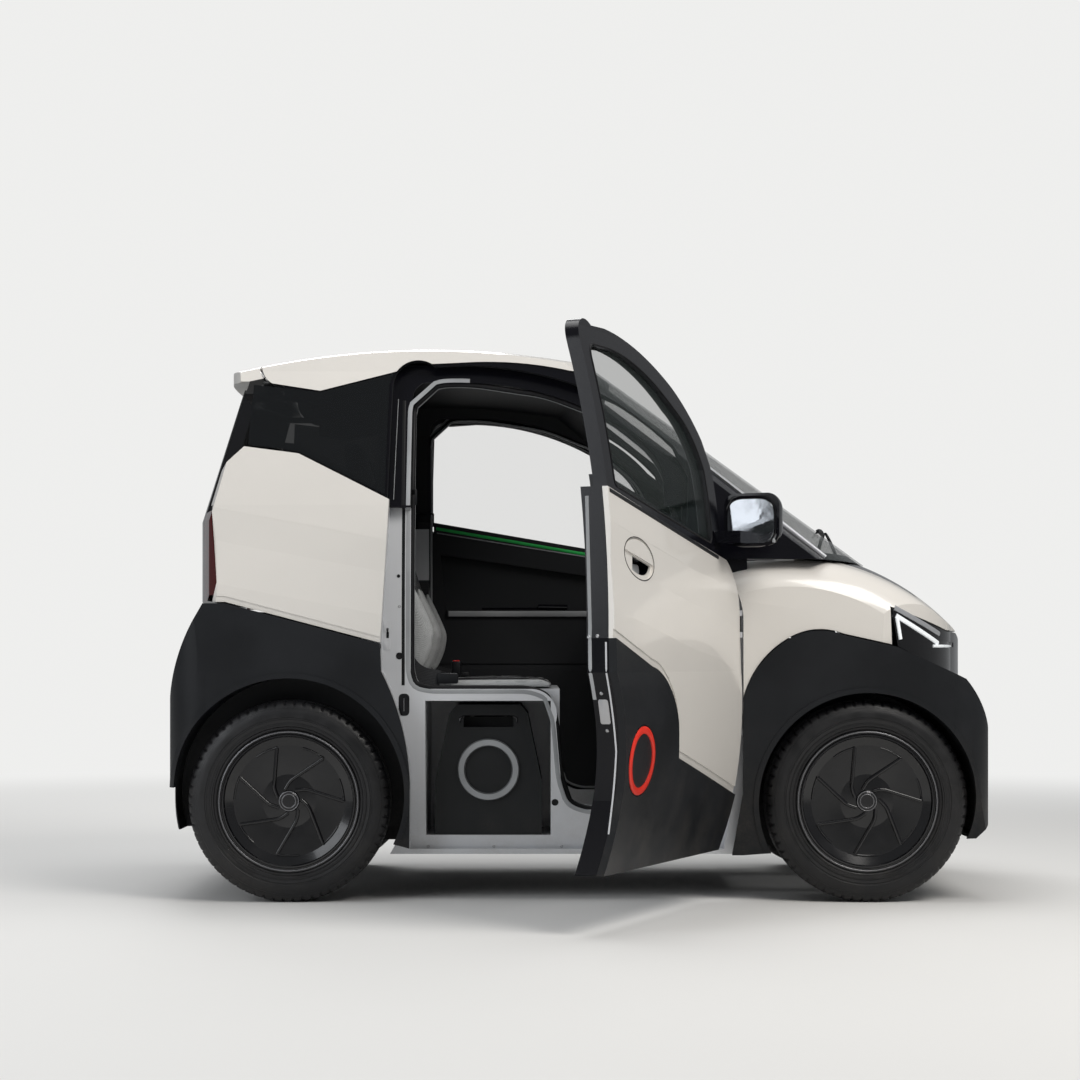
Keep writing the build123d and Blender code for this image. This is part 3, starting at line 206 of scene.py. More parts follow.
def ramp(tree, value, low, high, to_low=0.0, to_high=1.0):
    """Value mapped smoothly from one range to another."""
    made = node(tree, "ShaderNodeMapRange", interpolation_type="SMOOTHSTEP")
    tree.links.new(value, made.inputs["Value"])
    for label, limit in (("From Min", low), ("From Max", high), ("To Min", to_low), ("To Max", to_high)):
        feed(tree, made.inputs[label], limit)
    return made.outputs["Result"]


def maths(tree, operation, first, second=0.0):
    """One sum."""
    made = node(tree, "ShaderNodeMath", operation=operation)
    feed(tree, made.inputs[0], first)
    feed(tree, made.inputs[1], second)
    return made.outputs[0]


def noise(tree, scale, detail=3.0, roughness=0.5):
    """Noise over the object."""
    made = node(tree, "ShaderNodeTexNoise")
    tree.links.new(position(tree), made.inputs["Vector"])
    made.inputs["Detail"].default_value = detail
    made.inputs["Roughness"].default_value = roughness
    feed(tree, made.inputs["Scale"], scale)
    return made.outputs["Fac"]


def fine_grain_group():
    """Moulded grain: a height for bump and a mask for slight colour change."""
    tree, given, made = group_tree("Fine Grain", {"Scale": 900.0, "Patches": 6.0}, HEIGHT_AND_MASK)
    cells = node(tree, "ShaderNodeTexVoronoi", feature="SMOOTH_F1")
    tree.links.new(position(tree), cells.inputs["Vector"])
    tree.links.new(given["Scale"], cells.inputs["Scale"])
    fine = noise(tree, given["Scale"], 2.0)
    blend = maths(tree, "MULTIPLY", fine, 0.5)
    total = maths(tree, "ADD", cells.outputs["Distance"], blend)
    tree.links.new(total, made["Height"])
    tree.links.new(noise(tree, given["Patches"], 4.0), made["Mask"])
    return tree


def dust_group():
    """Dust that gathers low down and in broad patches."""
    tree, given, made = group_tree("Low Dust", {"Top": 0.45, "Amount": 0.3}, (("Mask", "Float"),))
    split = node(tree, "ShaderNodeSeparateXYZ")
    tree.links.new(position(tree), split.inputs[0])
    low = ramp(tree, split.outputs["Z"], given["Top"], 0.05)
    patches = ramp(tree, noise(tree, 9.0, 6.0, 0.6), 0.35, 0.75)
    speckle = ramp(tree, noise(tree, 160.0, 3.0, 0.7), 0.35, 0.7, 0.4, 1.0)
    mask = maths(tree, "MULTIPLY", maths(tree, "MULTIPLY", low, patches), speckle)
    tree.links.new(maths(tree, "MULTIPLY", mask, given["Amount"]), made["Mask"])
    return tree


def ripple_group():
    """Very slight unevenness of a painted or polished surface."""
    tree, given, made = group_tree("Paint Ripple", {"Scale": 260.0, "Cloud": 3.0}, HEIGHT_AND_MASK)
    tree.links.new(noise(tree, given["Scale"], 1.0, 0.4), made["Height"])
    tree.links.new(noise(tree, given["Cloud"], 3.0, 0.5), made["Mask"])
    return tree


def weave_group():
    """Plain weave of a knitted or woven cloth."""
    tree, given, made = group_tree("Cloth Weave", {"Threads": 420.0}, HEIGHT_AND_MASK)
    place = node(tree, "ShaderNodeVectorMath", operation="SCALE")
    tree.links.new(position(tree), place.inputs[0])
    tree.links.new(given["Threads"], place.inputs["Scale"])
    split = node(tree, "ShaderNodeSeparateXYZ")
    tree.links.new(place.outputs[0], split.inputs[0])
    across = maths(tree, "ADD", split.outputs["X"], split.outputs["Z"])
    along = maths(tree, "SUBTRACT", split.outputs["Y"], maths(tree, "MULTIPLY", split.outputs["Z"], 0.3))
    warp = maths(tree, "ABSOLUTE", maths(tree, "SINE", maths(tree, "MULTIPLY", across, pi)))
    weft = maths(tree, "ABSOLUTE", maths(tree, "SINE", maths(tree, "MULTIPLY", along, pi)))
    tree.links.new(maths(tree, "MULTIPLY", warp, weft), made["Height"])
    tree.links.new(noise(tree, 40.0, 4.0, 0.6), made["Mask"])
    return tree


GROUPS = {
    "grain": fine_grain_group,
    "dust": dust_group,
    "ripple": ripple_group,
    "weave": weave_group,
}
built_groups = {}


def effect(tree, name, **inputs):
    """One shared effect in a material, with its values. Returns its outputs."""
    if name not in built_groups:
        built_groups[name] = GROUPS[name]()
    made = node(tree, "ShaderNodeGroup", node_tree=built_groups[name])
    for label, value in inputs.items():
        made.inputs[label.replace("_", " ")].default_value = value
    return made.outputs


def mixed(tree, factor, first, second):
    """Colour mixed by a factor."""
    made = node(tree, "ShaderNodeMix", data_type="RGBA")
    tree.links.new(factor, made.inputs["Factor"])
    for place, given in ((6, first), (7, second)):
        feed(tree, made.inputs[place], given if hasattr(given, "is_output") else (*given, 1.0))
    return made.outputs[2]


def start_material(name, **sockets):
    """New material. Returns it, its tree and its Principled shader."""
    made = bpy.data.materials.new(name)
    made.use_nodes = True
    tree = made.node_tree
    shader = tree.nodes["Principled BSDF"]
    for label, value in sockets.items():
        socket = shader.inputs[label.replace("_", " ")]
        if socket.type == "RGBA" and len(value) == 3:
            value = (*value, 1.0)
        socket.default_value = value
    return made, tree, shader


def bump(tree, shader, height, depth, strength=1.0):
    """Height to the shader's normal, depth in metres."""
    made = node(tree, "ShaderNodeBump", inputs={"Strength": strength, "Distance": depth, "Height": height})
    tree.links.new(made.outputs["Normal"], shader.inputs["Normal"])


DUST_COLOUR = (0.30, 0.26, 0.21)


def darker(base, factor):
    """A colour scaled."""
    return tuple(channel * factor for channel in base)


def dusted(tree, shader, tint, top, amount, tone=DUST_COLOUR):
    """Colour with low dust over it, to the shader."""
    dust = effect(tree, "dust", Top=top, Amount=amount)
    tree.links.new(mixed(tree, dust["Mask"], tint, tone), shader.inputs["Base Color"])


def uneven(tree, shader, mask, start, low, high):
    """Roughness that varies with a mask, to the shader."""
    tree.links.new(ramp(tree, mask, start, 0.7, low, high), shader.inputs["Roughness"])


def body_paint():
    """Warm off-white paint with a clear coat."""
    finish = settings("finish")
    made, tree, shader = start_material(
        "body_paint", Roughness=finish.body_gloss, Coat_Weight=0.6, Coat_Roughness=0.06)
    ripple = effect(tree, "ripple", Scale=240.0, Cloud=2.5)
    base = mixed(tree, ramp(tree, ripple["Mask"], 0.35, 0.7), darker(finish.body, 0.97), tuple(finish.body))
    dusted(tree, shader, base, 0.75, finish.dust * 0.35)
    bump(tree, shader, ripple["Height"], 0.0004, 0.25)
    return made


def moulded(name, base, roughness, grain_scale=1100.0, depth=0.0003, dust_top=0.55, dust_amount=None):
    """Moulded plastic with fine grain and a little dust."""
    made, tree, shader = start_material(name, Roughness=roughness, Specular_IOR_Level=0.22)
    grain = effect(tree, "grain", Scale=grain_scale, Patches=5.0)
    shade = ramp(tree, grain["Mask"], 0.3, 0.72)
    tint = mixed(tree, shade, darker(base, 0.85), darker(base, 1.18))
    dusted(tree, shader, tint, dust_top, settings("finish").dust if dust_amount is None else dust_amount)
    uneven(tree, shader, grain["Mask"], 0.3, roughness - 0.05, roughness + 0.08)
    bump(tree, shader, grain["Height"], depth, 0.6)
    return made


def polished(name, base, roughness=0.06, metallic=0.0, coat=0.5, dust_amount=0.12, shine=0.5):
    """Gloss trim or smooth metal with faint smears."""
    made, tree, shader = start_material(
        name, Metallic=metallic, Coat_Weight=coat, Coat_Roughness=0.03, Specular_IOR_Level=shine)
    ripple = effect(tree, "ripple", Scale=60.0, Cloud=14.0)
    dusted(tree, shader, tuple(base), 0.6, dust_amount)
    uneven(tree, shader, ripple["Mask"], 0.35, roughness, roughness + 0.1)
    bump(tree, shader, ripple["Height"], 0.0003, 0.12)
    return made


def glazing(name, tint, clear, edge):
    """Tinted glass: see-through in front, mirror-like at a low angle."""
    made, tree, shader = start_material(name, Base_Color=tint, Roughness=0.015, Coat_Weight=0.0, IOR=1.5)
    facing = node(tree, "ShaderNodeLayerWeight")
    facing.inputs["Blend"].default_value = 0.35
    alpha = ramp(tree, facing.outputs["Fresnel"], 0.0, 1.0, clear, edge)
    tree.links.new(alpha, shader.inputs["Alpha"])
    ripple = effect(tree, "ripple", Scale=4.0, Cloud=3.0)
    tree.links.new(mixed(tree, ripple["Mask"], darker(tint, 0.8), tint), shader.inputs["Base Color"])
    return made


def rubber(name, base, roughness, dust_top=0.6, shine=0.22):
    """Tyre or seal rubber."""
    made, tree, shader = start_material(name, Specular_IOR_Level=shine)
    grain = effect(tree, "grain", Scale=1500.0, Patches=22.0)
    tint = mixed(tree, ramp(tree, grain["Mask"], 0.3, 0.7), darker(base, 0.8), darker(base, 1.3))
    dusted(tree, shader, tint, dust_top, settings("finish").dust * 0.8, darker(DUST_COLOUR, 0.5))
    uneven(tree, shader, grain["Mask"], 0.3, roughness - 0.08, roughness + 0.1)
    bump(tree, shader, grain["Height"], 0.0002, 0.5)
    return made


def cloth(name, base, sheen=0.4, threads=420.0):
    """Woven seat cloth."""
    made, tree, shader = start_material(name, Roughness=0.88, Sheen_Weight=sheen, Sheen_Roughness=0.4)
    weave = effect(tree, "weave", Threads=threads)
    # Painted shade in the hollows between threads and painted highlight on their crowns
    weave_shade_tone = mixed(tree, weave["Height"], darker(base, 0.55), darker(base, 1.25))
    worn = ramp(tree, weave["Mask"], 0.3, 0.7)
    tree.links.new(mixed(tree, worn, weave_shade_tone, darker(base, 0.95)), shader.inputs["Base Color"])
    bump(tree, shader, weave["Height"], 0.0008, 0.7)
    return made


def glowing(name, base, strength):
    """Light guide or lens that glows a little."""
    made, tree, shader = start_material(name, Roughness=0.12, Coat_Weight=0.5)
    ripple = effect(tree, "ripple", Scale=300.0, Cloud=60.0)
    tone = mixed(tree, ripple["Mask"], darker(base, 0.9), tuple(base))
    tree.links.new(tone, shader.inputs["Base Color"])
    tree.links.new(tone, shader.inputs["Emission Color"])
    shader.inputs["Emission Strength"].default_value = strength
    bump(tree, shader, ripple["Height"], 0.0003, 0.3)
    return made


def lined(name, centre):
    """Gloss black frame whose faces towards the cabin are matt plastic."""
    finish = settings("finish")
    made, tree, shader = start_material(name, Coat_Roughness=0.03)
    place = node(tree, "ShaderNodeTexCoord")
    spots = {0: place.outputs["Object"], 1: centre}
    reach = node(tree, "ShaderNodeVectorMath", operation="SUBTRACT", inputs=spots)
    ways = {0: place.outputs["Normal"], 1: reach.outputs[0]}
    facing = node(tree, "ShaderNodeVectorMath", operation="DOT_PRODUCT", inputs=ways)
    outside = ramp(tree, facing.outputs["Value"], -0.02, 0.02)
    grain = effect(tree, "grain", Scale=1000.0, Patches=5.0)
    cabin = mixed(tree, grain["Mask"], darker(finish.cabin, 0.9), darker(finish.cabin, 1.15))
    tree.links.new(mixed(tree, outside, cabin, tuple(finish.trim)), shader.inputs["Base Color"])
    matt = maths(tree, "SUBTRACT", 0.6, maths(tree, "MULTIPLY", outside, 0.45))
    tree.links.new(matt, shader.inputs["Roughness"])
    shader.inputs["Specular IOR Level"].default_value = 0.22
    bump(tree, shader, grain["Height"], 0.0003, 0.25)
    return made


# Each finish: its maker, then the maker's values. A colour given by name is one of the settings.
FINISHES = {
    "body_paint": (body_paint,),
    "dark_cladding": (moulded, "cladding", 0.42, 1300.0, 0.00025),
    "gloss_black": (polished, "trim", 0.05, 0.0, 0.3, 0.08, 0.4),
    "frame_white": (polished, "frame_white", 0.30, 0.0, 0.25, 0.3),
    "structure": (moulded, (0.016, 0.016, 0.018), 0.5, 700.0, 0.0004),
    "glass": (glazing, (0.02, 0.03, 0.026), 0.07, 0.42),
    "dark_glass": (glazing, (0.004, 0.005, 0.006), 0.80, 0.97),
    "lamp": (polished, (0.005, 0.005, 0.006), 0.08, 0.0, 0.3, 0.05, 0.4),
    "lamp_red": (polished, (0.055, 0.002, 0.002), 0.06, 0.0, 0.3, 0.05, 0.4),
    "interior": (moulded, "cabin", 0.6, 1000.0, 0.0004, 0.0, 0.0),
    "seat_fabric": (cloth, "seat"),
    "seat_bolster": (cloth, "bolster", 0.15, 520.0),
    "battery_case": (moulded, (0.016, 0.017, 0.018), 0.5, 900.0, 0.0005, 0.3, 0.1),
    "tyre": (rubber, (0.006, 0.006, 0.007), 0.42, 0.6, 0.42),
    "seal": (rubber, (0.007, 0.007, 0.008), 0.5, 0.2),
    "wheel": (polished, (0.003, 0.003, 0.004), 0.14, 0.0, 0.25, 0.0, 0.45),
    "motor_case": (polished, (0.45, 0.46, 0.48), 0.35, 1.0, 0.0),
    "steel": (polished, (0.42, 0.42, 0.43), 0.28, 1.0, 0.0),
    "silver": (polished, (0.36, 0.37, 0.39), 0.35, 0.25, 0.2),
    "silver_dark": (polished, (0.16, 0.16, 0.17), 0.25, 0.7, 0.2),
    "light_grey": (moulded, (0.33, 0.34, 0.35), 0.4, 800.0, 0.0002, 0.0, 0.0),
    "mirror": (polished, (0.50, 0.52, 0.55), 0.02, 1.0, 0.0, 0.0),
    "ring_red": (moulded, "ring_red", 0.35, 500.0, 0.0001, 0.0, 0.0),
    "accent": (moulded, "accent", 0.4, 500.0, 0.0001, 0.0, 0.0),
    "lamp_white": (glowing, (0.85, 0.88, 0.90), 0.35),
    # lens_red glows; on the belt button, which is no lamp, that glow is painted light
    "lens_red": (glowing, (0.55, 0.01, 0.01), 0.12),
}
LINED = {"roof_lined": None, "door_lined_left": "left", "door_lined_right": "right"}
built_materials = {}


def material(name):
    """A finish, built when it is first asked for."""
    if name in built_materials:
        return built_materials[name]
    if name in LINED:
        side = LINED[name]
        made = lined(name, door_place(side) @ DOOR_CENTRE if side else CABIN_CENTRE)
    else:
        maker, *values = FINISHES[name]
        if values and isinstance(values[0], str):
            values[0] = tuple(getattr(settings("finish"), values[0]))
        made = maker(name, *values) if values else maker()
    built_materials[name] = made
    return made


# Mesh helpers
RING_STEPS = 72


def add_object(name, data):
    """New object in the scene."""
    made = bpy.data.objects.new(name, data)
    bpy.context.scene.collection.objects.link(made)
    return made


def add_piece(name, part, finish, body, smooth=40, replaces=()):
    """Puts a mesh or a bmesh in the scene as a piece that rides on a body."""
    if isinstance(part, bmesh.types.BMesh):
        mesh = bpy.data.meshes.new(name)
        part.to_mesh(mesh)
        part.free()
    else:
        mesh = part
    mesh.materials.append(material(finish))
    mesh.shade_smooth()
    mesh.set_sharp_from_angle(angle=radians(smooth))
    made = add_object(name, mesh)
    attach(made, body)
    if replaces:
        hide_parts(*replaces)
    return made


def join_parts(parts):
    """Several (points, faces) as one."""
    points, faces = [], []
    for more_points, more_faces in parts:
        start = len(points)
        points += more_points
        faces += [[start + index for index in face] for face in more_faces]
    return points, faces


def moved(part, matrix):
    """(points, faces) moved by a matrix. A mirror turns the faces over."""
    points = [matrix @ Vector(point) for point in part[0]]
    faces = part[1]
    if matrix.determinant() < 0:
        faces = [list(reversed(face)) for face in faces]
    return points, faces


def both_sides(name, part, finish, on_door=False):
    """A piece built on the closed right-hand side, set on both sides of the car."""
    for side in SIDES:
        spot = door_place(side) if on_door else side_place(side)
        body = "door_" + side if on_door else "body"
        add_piece(name + "_" + side, tidy_mesh(moved(part, spot)), finish, body)


def from_bmesh(shape):
    """(points, faces) of a bmesh, which is freed."""
    shape.verts.ensure_lookup_table()
    points = [vert.co.copy() for vert in shape.verts]
    faces = [[vert.index for vert in face.verts] for face in shape.faces]
    shape.free()
    return points, faces


def side_place(side):
    """From right-hand coordinates to a side of the car."""
    return Matrix.Identity(4) if side == "right" else MIRROR


def door_place(side):
    """From the closed right door's coordinates to a door as it stands at rest."""
    if side == "left":
        return side_place(side)
    return Matrix.Translation(HINGE) @ Matrix.Rotation(DOOR_SWING, 4, "Z") @ Matrix.Translation(-HINGE)


def split_pairs(pairs):
    """Places and normals of the pairs that were found."""
    found = [pair for pair in pairs if pair]
    return [pair[0] for pair in found], [pair[1] for pair in found]


class Surface:
    """Finds where lines meet some of the frame's nodes, or meshes."""

    def __init__(self, names, matrix=None):
        points, faces = [], []
        for name in names:
            mesh = NODES[name].data if isinstance(name, str) else name
            start = len(points)
            points += [(matrix @ vert.co) if matrix else vert.co.copy() for vert in mesh.vertices]
            faces += [[start + index for index in face.vertices] for face in mesh.polygons]
        self.tree = BVHTree.FromPolygons(points, faces)

    def hit(self, origin, direction):
        """Place and outward normal, or None."""
        place, normal, _, _ = self.tree.ray_cast(Vector(origin), Vector(direction))
        if place is None:
            return None
        if normal.dot(Vector(direction)) > 0:
            normal = -normal
        return place, normal

    def side(self, x, z, inside=False):
        """Seen from the right-hand side, or from the cabin towards it."""
        return self.hit((x, 0, z), (0, -1, 0)) if inside else self.hit((x, -2, z), (0, 1, 0))

    def rays(self, rays):
        """Places and normals where rays, each an origin and a direction, meet the surface."""
        return split_pairs(self.hit(origin, direction) for origin, direction in rays)

    def lay(self, outline, inside=False):
        """Side-view points laid on the surface, as places and normals."""
        return split_pairs(self.side(point[0], point[1], inside) for point in outline)


surfaces = {}


def body_side(*names):
    """Surface of some of the body's nodes."""
    if names not in surfaces:
        surfaces[names] = Surface(names)
    return surfaces[names]


def body_door(*names):
    """Surface of some of the closed left door's nodes, mirrored to the right."""
    key = ("mirrored", *names)
    if key not in surfaces:
        surfaces[key] = Surface(names, MIRROR)
    return surfaces[key]


def closed_door():
    """Surface of the closed right door, taken from the left one."""
    return body_door("door_skin_left", "door_cladding_left", "door_core_left", "door_glass_left")


def rounded_path(points, radius, closed=False, steps=6):
    """Polyline with its corners rounded off. Works in two or three dimensions."""
    points = [Vector(point) for point in points]
    count = len(points)
    made = []
    for index, corner in enumerate(points):
        if not closed and index in (0, count - 1):
            made.append(corner)
            continue
        before = points[index - 1] - corner
        after = points[(index + 1) % count] - corner
        cut = min(radius, before.length * 0.45, after.length * 0.45)
        first = corner + before.normalized() * cut
        last = corner + after.normalized() * cut
        for step in range(steps + 1):
            along = step / steps
            made.append(first * (1 - along) ** 2 + corner * 2 * along * (1 - along) + last * along ** 2)
    return made


def resampled(points, spacing, closed=False):
    """Points spread evenly along a polyline."""
    points = [Vector(point) for point in points]
    if closed:
        points.append(points[0])
    lengths = [0.0]
    for first, last in zip(points, points[1:]):
        lengths.append(lengths[-1] + (last - first).length)
    total = lengths[-1]
    count = max(2, round(total / spacing))
    made = []
    place = 0
    for step in range(count if closed else count + 1):
        want = total * step / count
        while place < len(points) - 2 and lengths[place + 1] < want:
            place += 1
        span = max(1e-9, lengths[place + 1] - lengths[place])
        made.append(points[place].lerp(points[place + 1], (want - lengths[place]) / span))
    return made


def grid_faces(rows, width, rows_round=True, width_round=True):
    """Four-sided faces between rows of points, joined round where asked."""
    faces = []
    for row in range(rows if rows_round else rows - 1):
        start, onward = row * width, (row + 1) % rows * width
        for step in range(width if width_round else width - 1):
            beside = (step + 1) % width
            faces.append([start + step, start + beside, onward + beside, onward + step])
    return faces


def sweep(path, normals, profile, closed=False):
    """Profile (sideways, outwards) carried along a path. Open sweeps get end caps."""
    count = len(path)
    points = []
    for index, place in enumerate(path):
        before = path[index - 1] if closed or index else place
        after = path[(index + 1) % count] if closed or index < count - 1 else place
        along = (after - before).normalized()
        across = along.cross(normals[index]).normalized()
        outward = across.cross(along).normalized()
        points += [place + across * u + outward * v for u, v in profile]
    width = len(profile)
    faces = grid_faces(count, width, closed)
    if not closed:
        faces.append(list(range(width - 1, -1, -1)))
        faces.append([(count - 1) * width + step for step in range(width)])
    return points, faces


def bead(width, height, steps=5, sink=0.001):
    """Rounded section of a strip that lies on a surface."""
    made = [(-width / 2, -sink)]
    for step in range(steps + 1):
        turn = pi * (1 - step / steps)
        made.append((cos(turn) * width / 2, height * sin(turn)))
    made.append((width / 2, -sink))
    return made


def rectangle(wide, tall):
    """Corners of a rectangle by its half sizes."""
    return [(-wide, -tall), (wide, -tall), (wide, tall), (-wide, tall)]


def round_section(radius, steps=10):
    """Round section."""
    turns = [2 * pi * step / steps for step in range(steps)]
    return [(radius * cos(turn), radius * sin(turn)) for turn in turns]


def strip_part(surface, outline, section, corner=0.01, closed=False, inside=False, spacing=0.012):
    """Strip laid on a surface along a side-view outline."""
    path = resampled(rounded_path(outline, corner, closed), spacing, closed)
    return sweep(*surface.lay(path, inside), section, closed)


def ray_strip(surface, rays, section):
    """Strip through the places where rays meet a surface."""
    return sweep(*surface.rays(rays), section)


def grown(outline, amount):
    """Closed side-view outline moved outwards, or inwards where the amount is below zero."""
    points = [Vector((point[0], point[1])) for point in outline]
    area = sum(a.x * b.y - b.x * a.y for a, b in zip(points, points[1:] + points[:1]))
    turn = 1 if area > 0 else -1
    made = []
    for index, point in enumerate(points):
        along = (points[(index + 1) % len(points)] - points[index - 1]).normalized()
        made.append(point + Vector((along.y, -along.x)) * amount * turn)
    return made


def shadow_outline(name):
    """Outline of a node seen from the side."""
    flat = [Vector((vert.co.x, vert.co.z)) for vert in NODES[name].data.vertices]
    return [flat[index] for index in convex_hull_2d(flat)]


def ring_part(surface, centre, shape, stretch=1.0):
    """Ring laid on a surface, its shape as (radius, height), closed underneath."""
    points = []
    for radius, lift in shape:
        for step in range(RING_STEPS):
            turn = 2 * pi * step / RING_STEPS
            x, z = centre[0] + radius * stretch * cos(turn), centre[1] + radius * sin(turn)
            place, normal = surface.side(x, z)
            points.append(place + normal * lift)
    return points, grid_faces(len(shape), RING_STEPS)


def aimed(place, normal):
    """Matrix that stands a piece built along +Z on a place."""
    turn = Vector(normal).to_track_quat("Z", "Y").to_matrix().to_4x4()
    return Matrix.Translation(place) @ turn


def screw_part(place, normal, radius=0.005):
    """Domed screw head with a socket."""
    shape = ((0.25, 0.95), (0.5, 0.65), (0.5, 0.42), (0.2, 0.38))
    profile = [(-0.001, radius), *((radius * height, radius * reach) for height, reach in shape)]
    return moved(revolved(profile, 16, "Z"), aimed(place, normal))


def rounded_plate(width, tall, thick, corner, edge=0.0008, steps=6):
    """Plate with rounded corners, its face towards +Z."""
    outline = rounded_path(rectangle(width / 2, tall / 2), corner / 0.9, True, steps)
    count = len(outline)
    points = []
    for inset, height in ((0.0, 0.0), (0.0, thick - edge), (edge, thick)):
        shrink = (1 - 2 * inset / width, 1 - 2 * inset / tall)
        points += [Vector((spot.x * shrink[0], spot.y * shrink[1], height)) for spot in outline]
    faces = grid_faces(3, count, False)
    faces.append(list(range(count - 1, -1, -1)))
    faces.append([2 * count + step for step in range(count)])
    return points, faces


def revolved(profile, steps, axis="Y", cap=True):
    """Profile (along the axis, radius) turned about an axis through the origin."""
    points = []
    for step in range(steps):
        turn = 2 * pi * step / steps
        for along, radius in profile:
            first, second = radius * cos(turn), radius * sin(turn)
            spot = (second, along, first) if axis == "Y" else (first, second, along)
            points.append(Vector(spot))
    width = len(profile)
    faces = grid_faces(steps, width, True, False)
    if cap:
        faces.append([step * width for step in range(steps)])
        faces.append([step * width + width - 1 for step in range(steps - 1, -1, -1)])
    return points, faces


def bevel(shape, radius, stay_apart=False):
    """Rounds off every edge of a bmesh."""
    bmesh.ops.bevel(
        shape, geom=shape.edges[:], offset=radius, segments=2, affect="EDGES", profile=0.5,
        clamp_overlap=stay_apart)


def box_part(low, high, round_edge):
    """Box between two corners with rounded edges."""
    shape = bmesh.new()
    bmesh.ops.create_cube(shape, size=1.0)
    low, high = Vector(low), Vector(high)
    for vert in shape.verts:
        vert.co = Vector([low[i] + (vert.co[i] + 0.5) * (high[i] - low[i]) for i in range(3)])
    bevel(shape, round_edge)
    return from_bmesh(shape)


def tidy_mesh(part):
    """(points, faces) with faces turned outwards, as a bmesh."""
    shape = bmesh.new()
    verts = [shape.verts.new(point) for point in part[0]]
    for face in part[1]:
        shape.faces.new([verts[index] for index in face])
    bmesh.ops.recalc_face_normals(shape, faces=shape.faces[:])
    return shape


def operator(idname, label, note, action):
    """Operator class for one group of pieces."""
    def execute(self, context):
        action()
        return {"FINISHED"}

    values = {
        "bl_idname": "microcar." + idname, "bl_label": label, "bl_options": {"REGISTER", "UNDO"},
        "__doc__": note, "execute": execute,
    }
    return type("MICROCAR_OT_" + idname, (bpy.types.Operator,), values)


# Tyres: the sidewall as (in from its widest, out from the bead), with its moulded rings
SIDEWALL = (
    (0.0115, 0.0005), (0.0080, 0.0020), (0.0060, 0.0063), (0.0065, 0.0090), (0.0030, 0.0117),
    (0.0022, 0.0157), (0.0004, 0.0165), (0.0004, 0.0202), (0.0022, 0.0210), (0.0002, 0.0300),
    (0.0016, 0.0310), (0.0016, 0.0345), (0.0002, 0.0360), (0.0005, 0.0450), (0.0020, 0.0540),
    (0.0045, 0.0611), (0.0058, 0.0615), (0.0075, 0.0669), (0.0105, 0.0723), (0.0145, 0.0770),
    (0.0190, 0.0802), (0.0240, 0.0822),
)
TREAD_CROWN = 0.0018
GROOVE_HALF = 0.0035
GROOVE_LIP = 0.001
GROOVE_PLACES = (0.52, 0.18)
SHOULDER = 0.016
SKEW = 0.35
# Shares of a block's length that its gap takes, and of the groove's depth
SHOULDER_GAP, SHOULDER_DEEP = 0.26, 0.7
BLOCK_GAP, BLOCK_DEEP = 0.13, 0.6
# The tyre's inside as (in from its side, radius)
TYRE_LINING = ((0.022, TYRE_BEAD + 0.008), (0.014, TYRE_RADIUS - 0.045), (0.028, TYRE_RADIUS - 0.022))


def tyre_half_section():
    """Section from a bead to the middle of the tread: (across, radius, kind), 0 wall, 1 tread, -1 groove."""
    half = TYRE_WIDTH / 2
    made = [(half - inset, TYRE_BEAD + height, 0) for inset, height in SIDEWALL]
    edge = GROOVE_HALF + GROOVE_LIP
    for place in GROOVE_PLACES:
        for across, kind in ((edge, 1), (GROOVE_HALF, -1), (-GROOVE_HALF, -1), (-edge, 1)):
            reach = half * place + across
            made.append((reach, TYRE_RADIUS - TREAD_CROWN * (reach / half) ** 2, kind))
    return [*made, (0.0, TYRE_RADIUS, 1)]


def tyre_part():
    """Tyre about the Y axis: sidewalls with moulded rings, grooved tread with shoulder blocks."""
    tread = settings("tyres")
    one_half = tyre_half_section()
    full = [(-across, radius, kind) for across, radius, kind in one_half]
    full += reversed(one_half[:-1])
    half = TYRE_WIDTH / 2
    inner = [(half - inset, radius) for inset, radius in TYRE_LINING]
    lining = inner + [(-across, radius) for across, radius in reversed(inner)]
    steps = tread.blocks * 8
    points = []
    for step in range(steps):
        turn = 2 * pi * step / steps
        for across, radius, kind in full:
            reach = abs(across)
            phase = (turn * tread.blocks / (2 * pi) - SKEW * reach / half) % 1.0
            over = radius - TYRE_RADIUS + SHOULDER
            if kind < 0:
                radius -= tread.groove
            elif kind == 0 and over > 0 and phase < SHOULDER_GAP:
                radius -= tread.groove * SHOULDER_DEEP * min(1.0, over * 2 / SHOULDER)
            elif kind > 0 and reach > half * 0.3 and phase < BLOCK_GAP:
                radius -= tread.groove * BLOCK_DEEP
            points.append(Vector((radius * cos(turn), across, radius * sin(turn))))
        for across, radius in lining:
            points.append(Vector((radius * cos(turn), across, radius * sin(turn))))
    return points, grid_faces(steps, len(full) + len(lining))


def wheels():
    """Each wheel's corner of the car, the sign of its side and its X."""
    for end, x in ENDS.items():
        for side, sign in SIDES.items():
            yield end + "_" + side, sign, x


def build_tyres():
    """Four tyres with tread."""
    part = tyre_part()
    for corner, sign, x in wheels():
        shape = tidy_mesh(moved(part, Matrix.Translation((x, -sign * WHEEL_Y, HUB_Z))))
        add_piece("tread_tyre_" + corner, shape, "tyre", "wheel_" + corner, 32, ("tyre_" + corner,))


# Wheel covers: rings as (radius, thickness), the outermost a painted glint of the rim's gloss edge, the line of a
# rib as (radius, degrees) and the arc at its end
COVER_RINGS_AND_GLINT = ((0.0262, 0.0013), (0.0190, 0.0011), (0.1920, 0.0014))
RIB_COUNT = 7
RIB_LINE = ((0.034, 58), (0.056, 36), (0.150, 0))
RIB_END = 0.1515
RIB_ARC = 24


def polar(radius, turn):
    """X and Z of a place round a hub, its turn in degrees."""
    return radius * cos(radians(turn)), radius * sin(radians(turn))


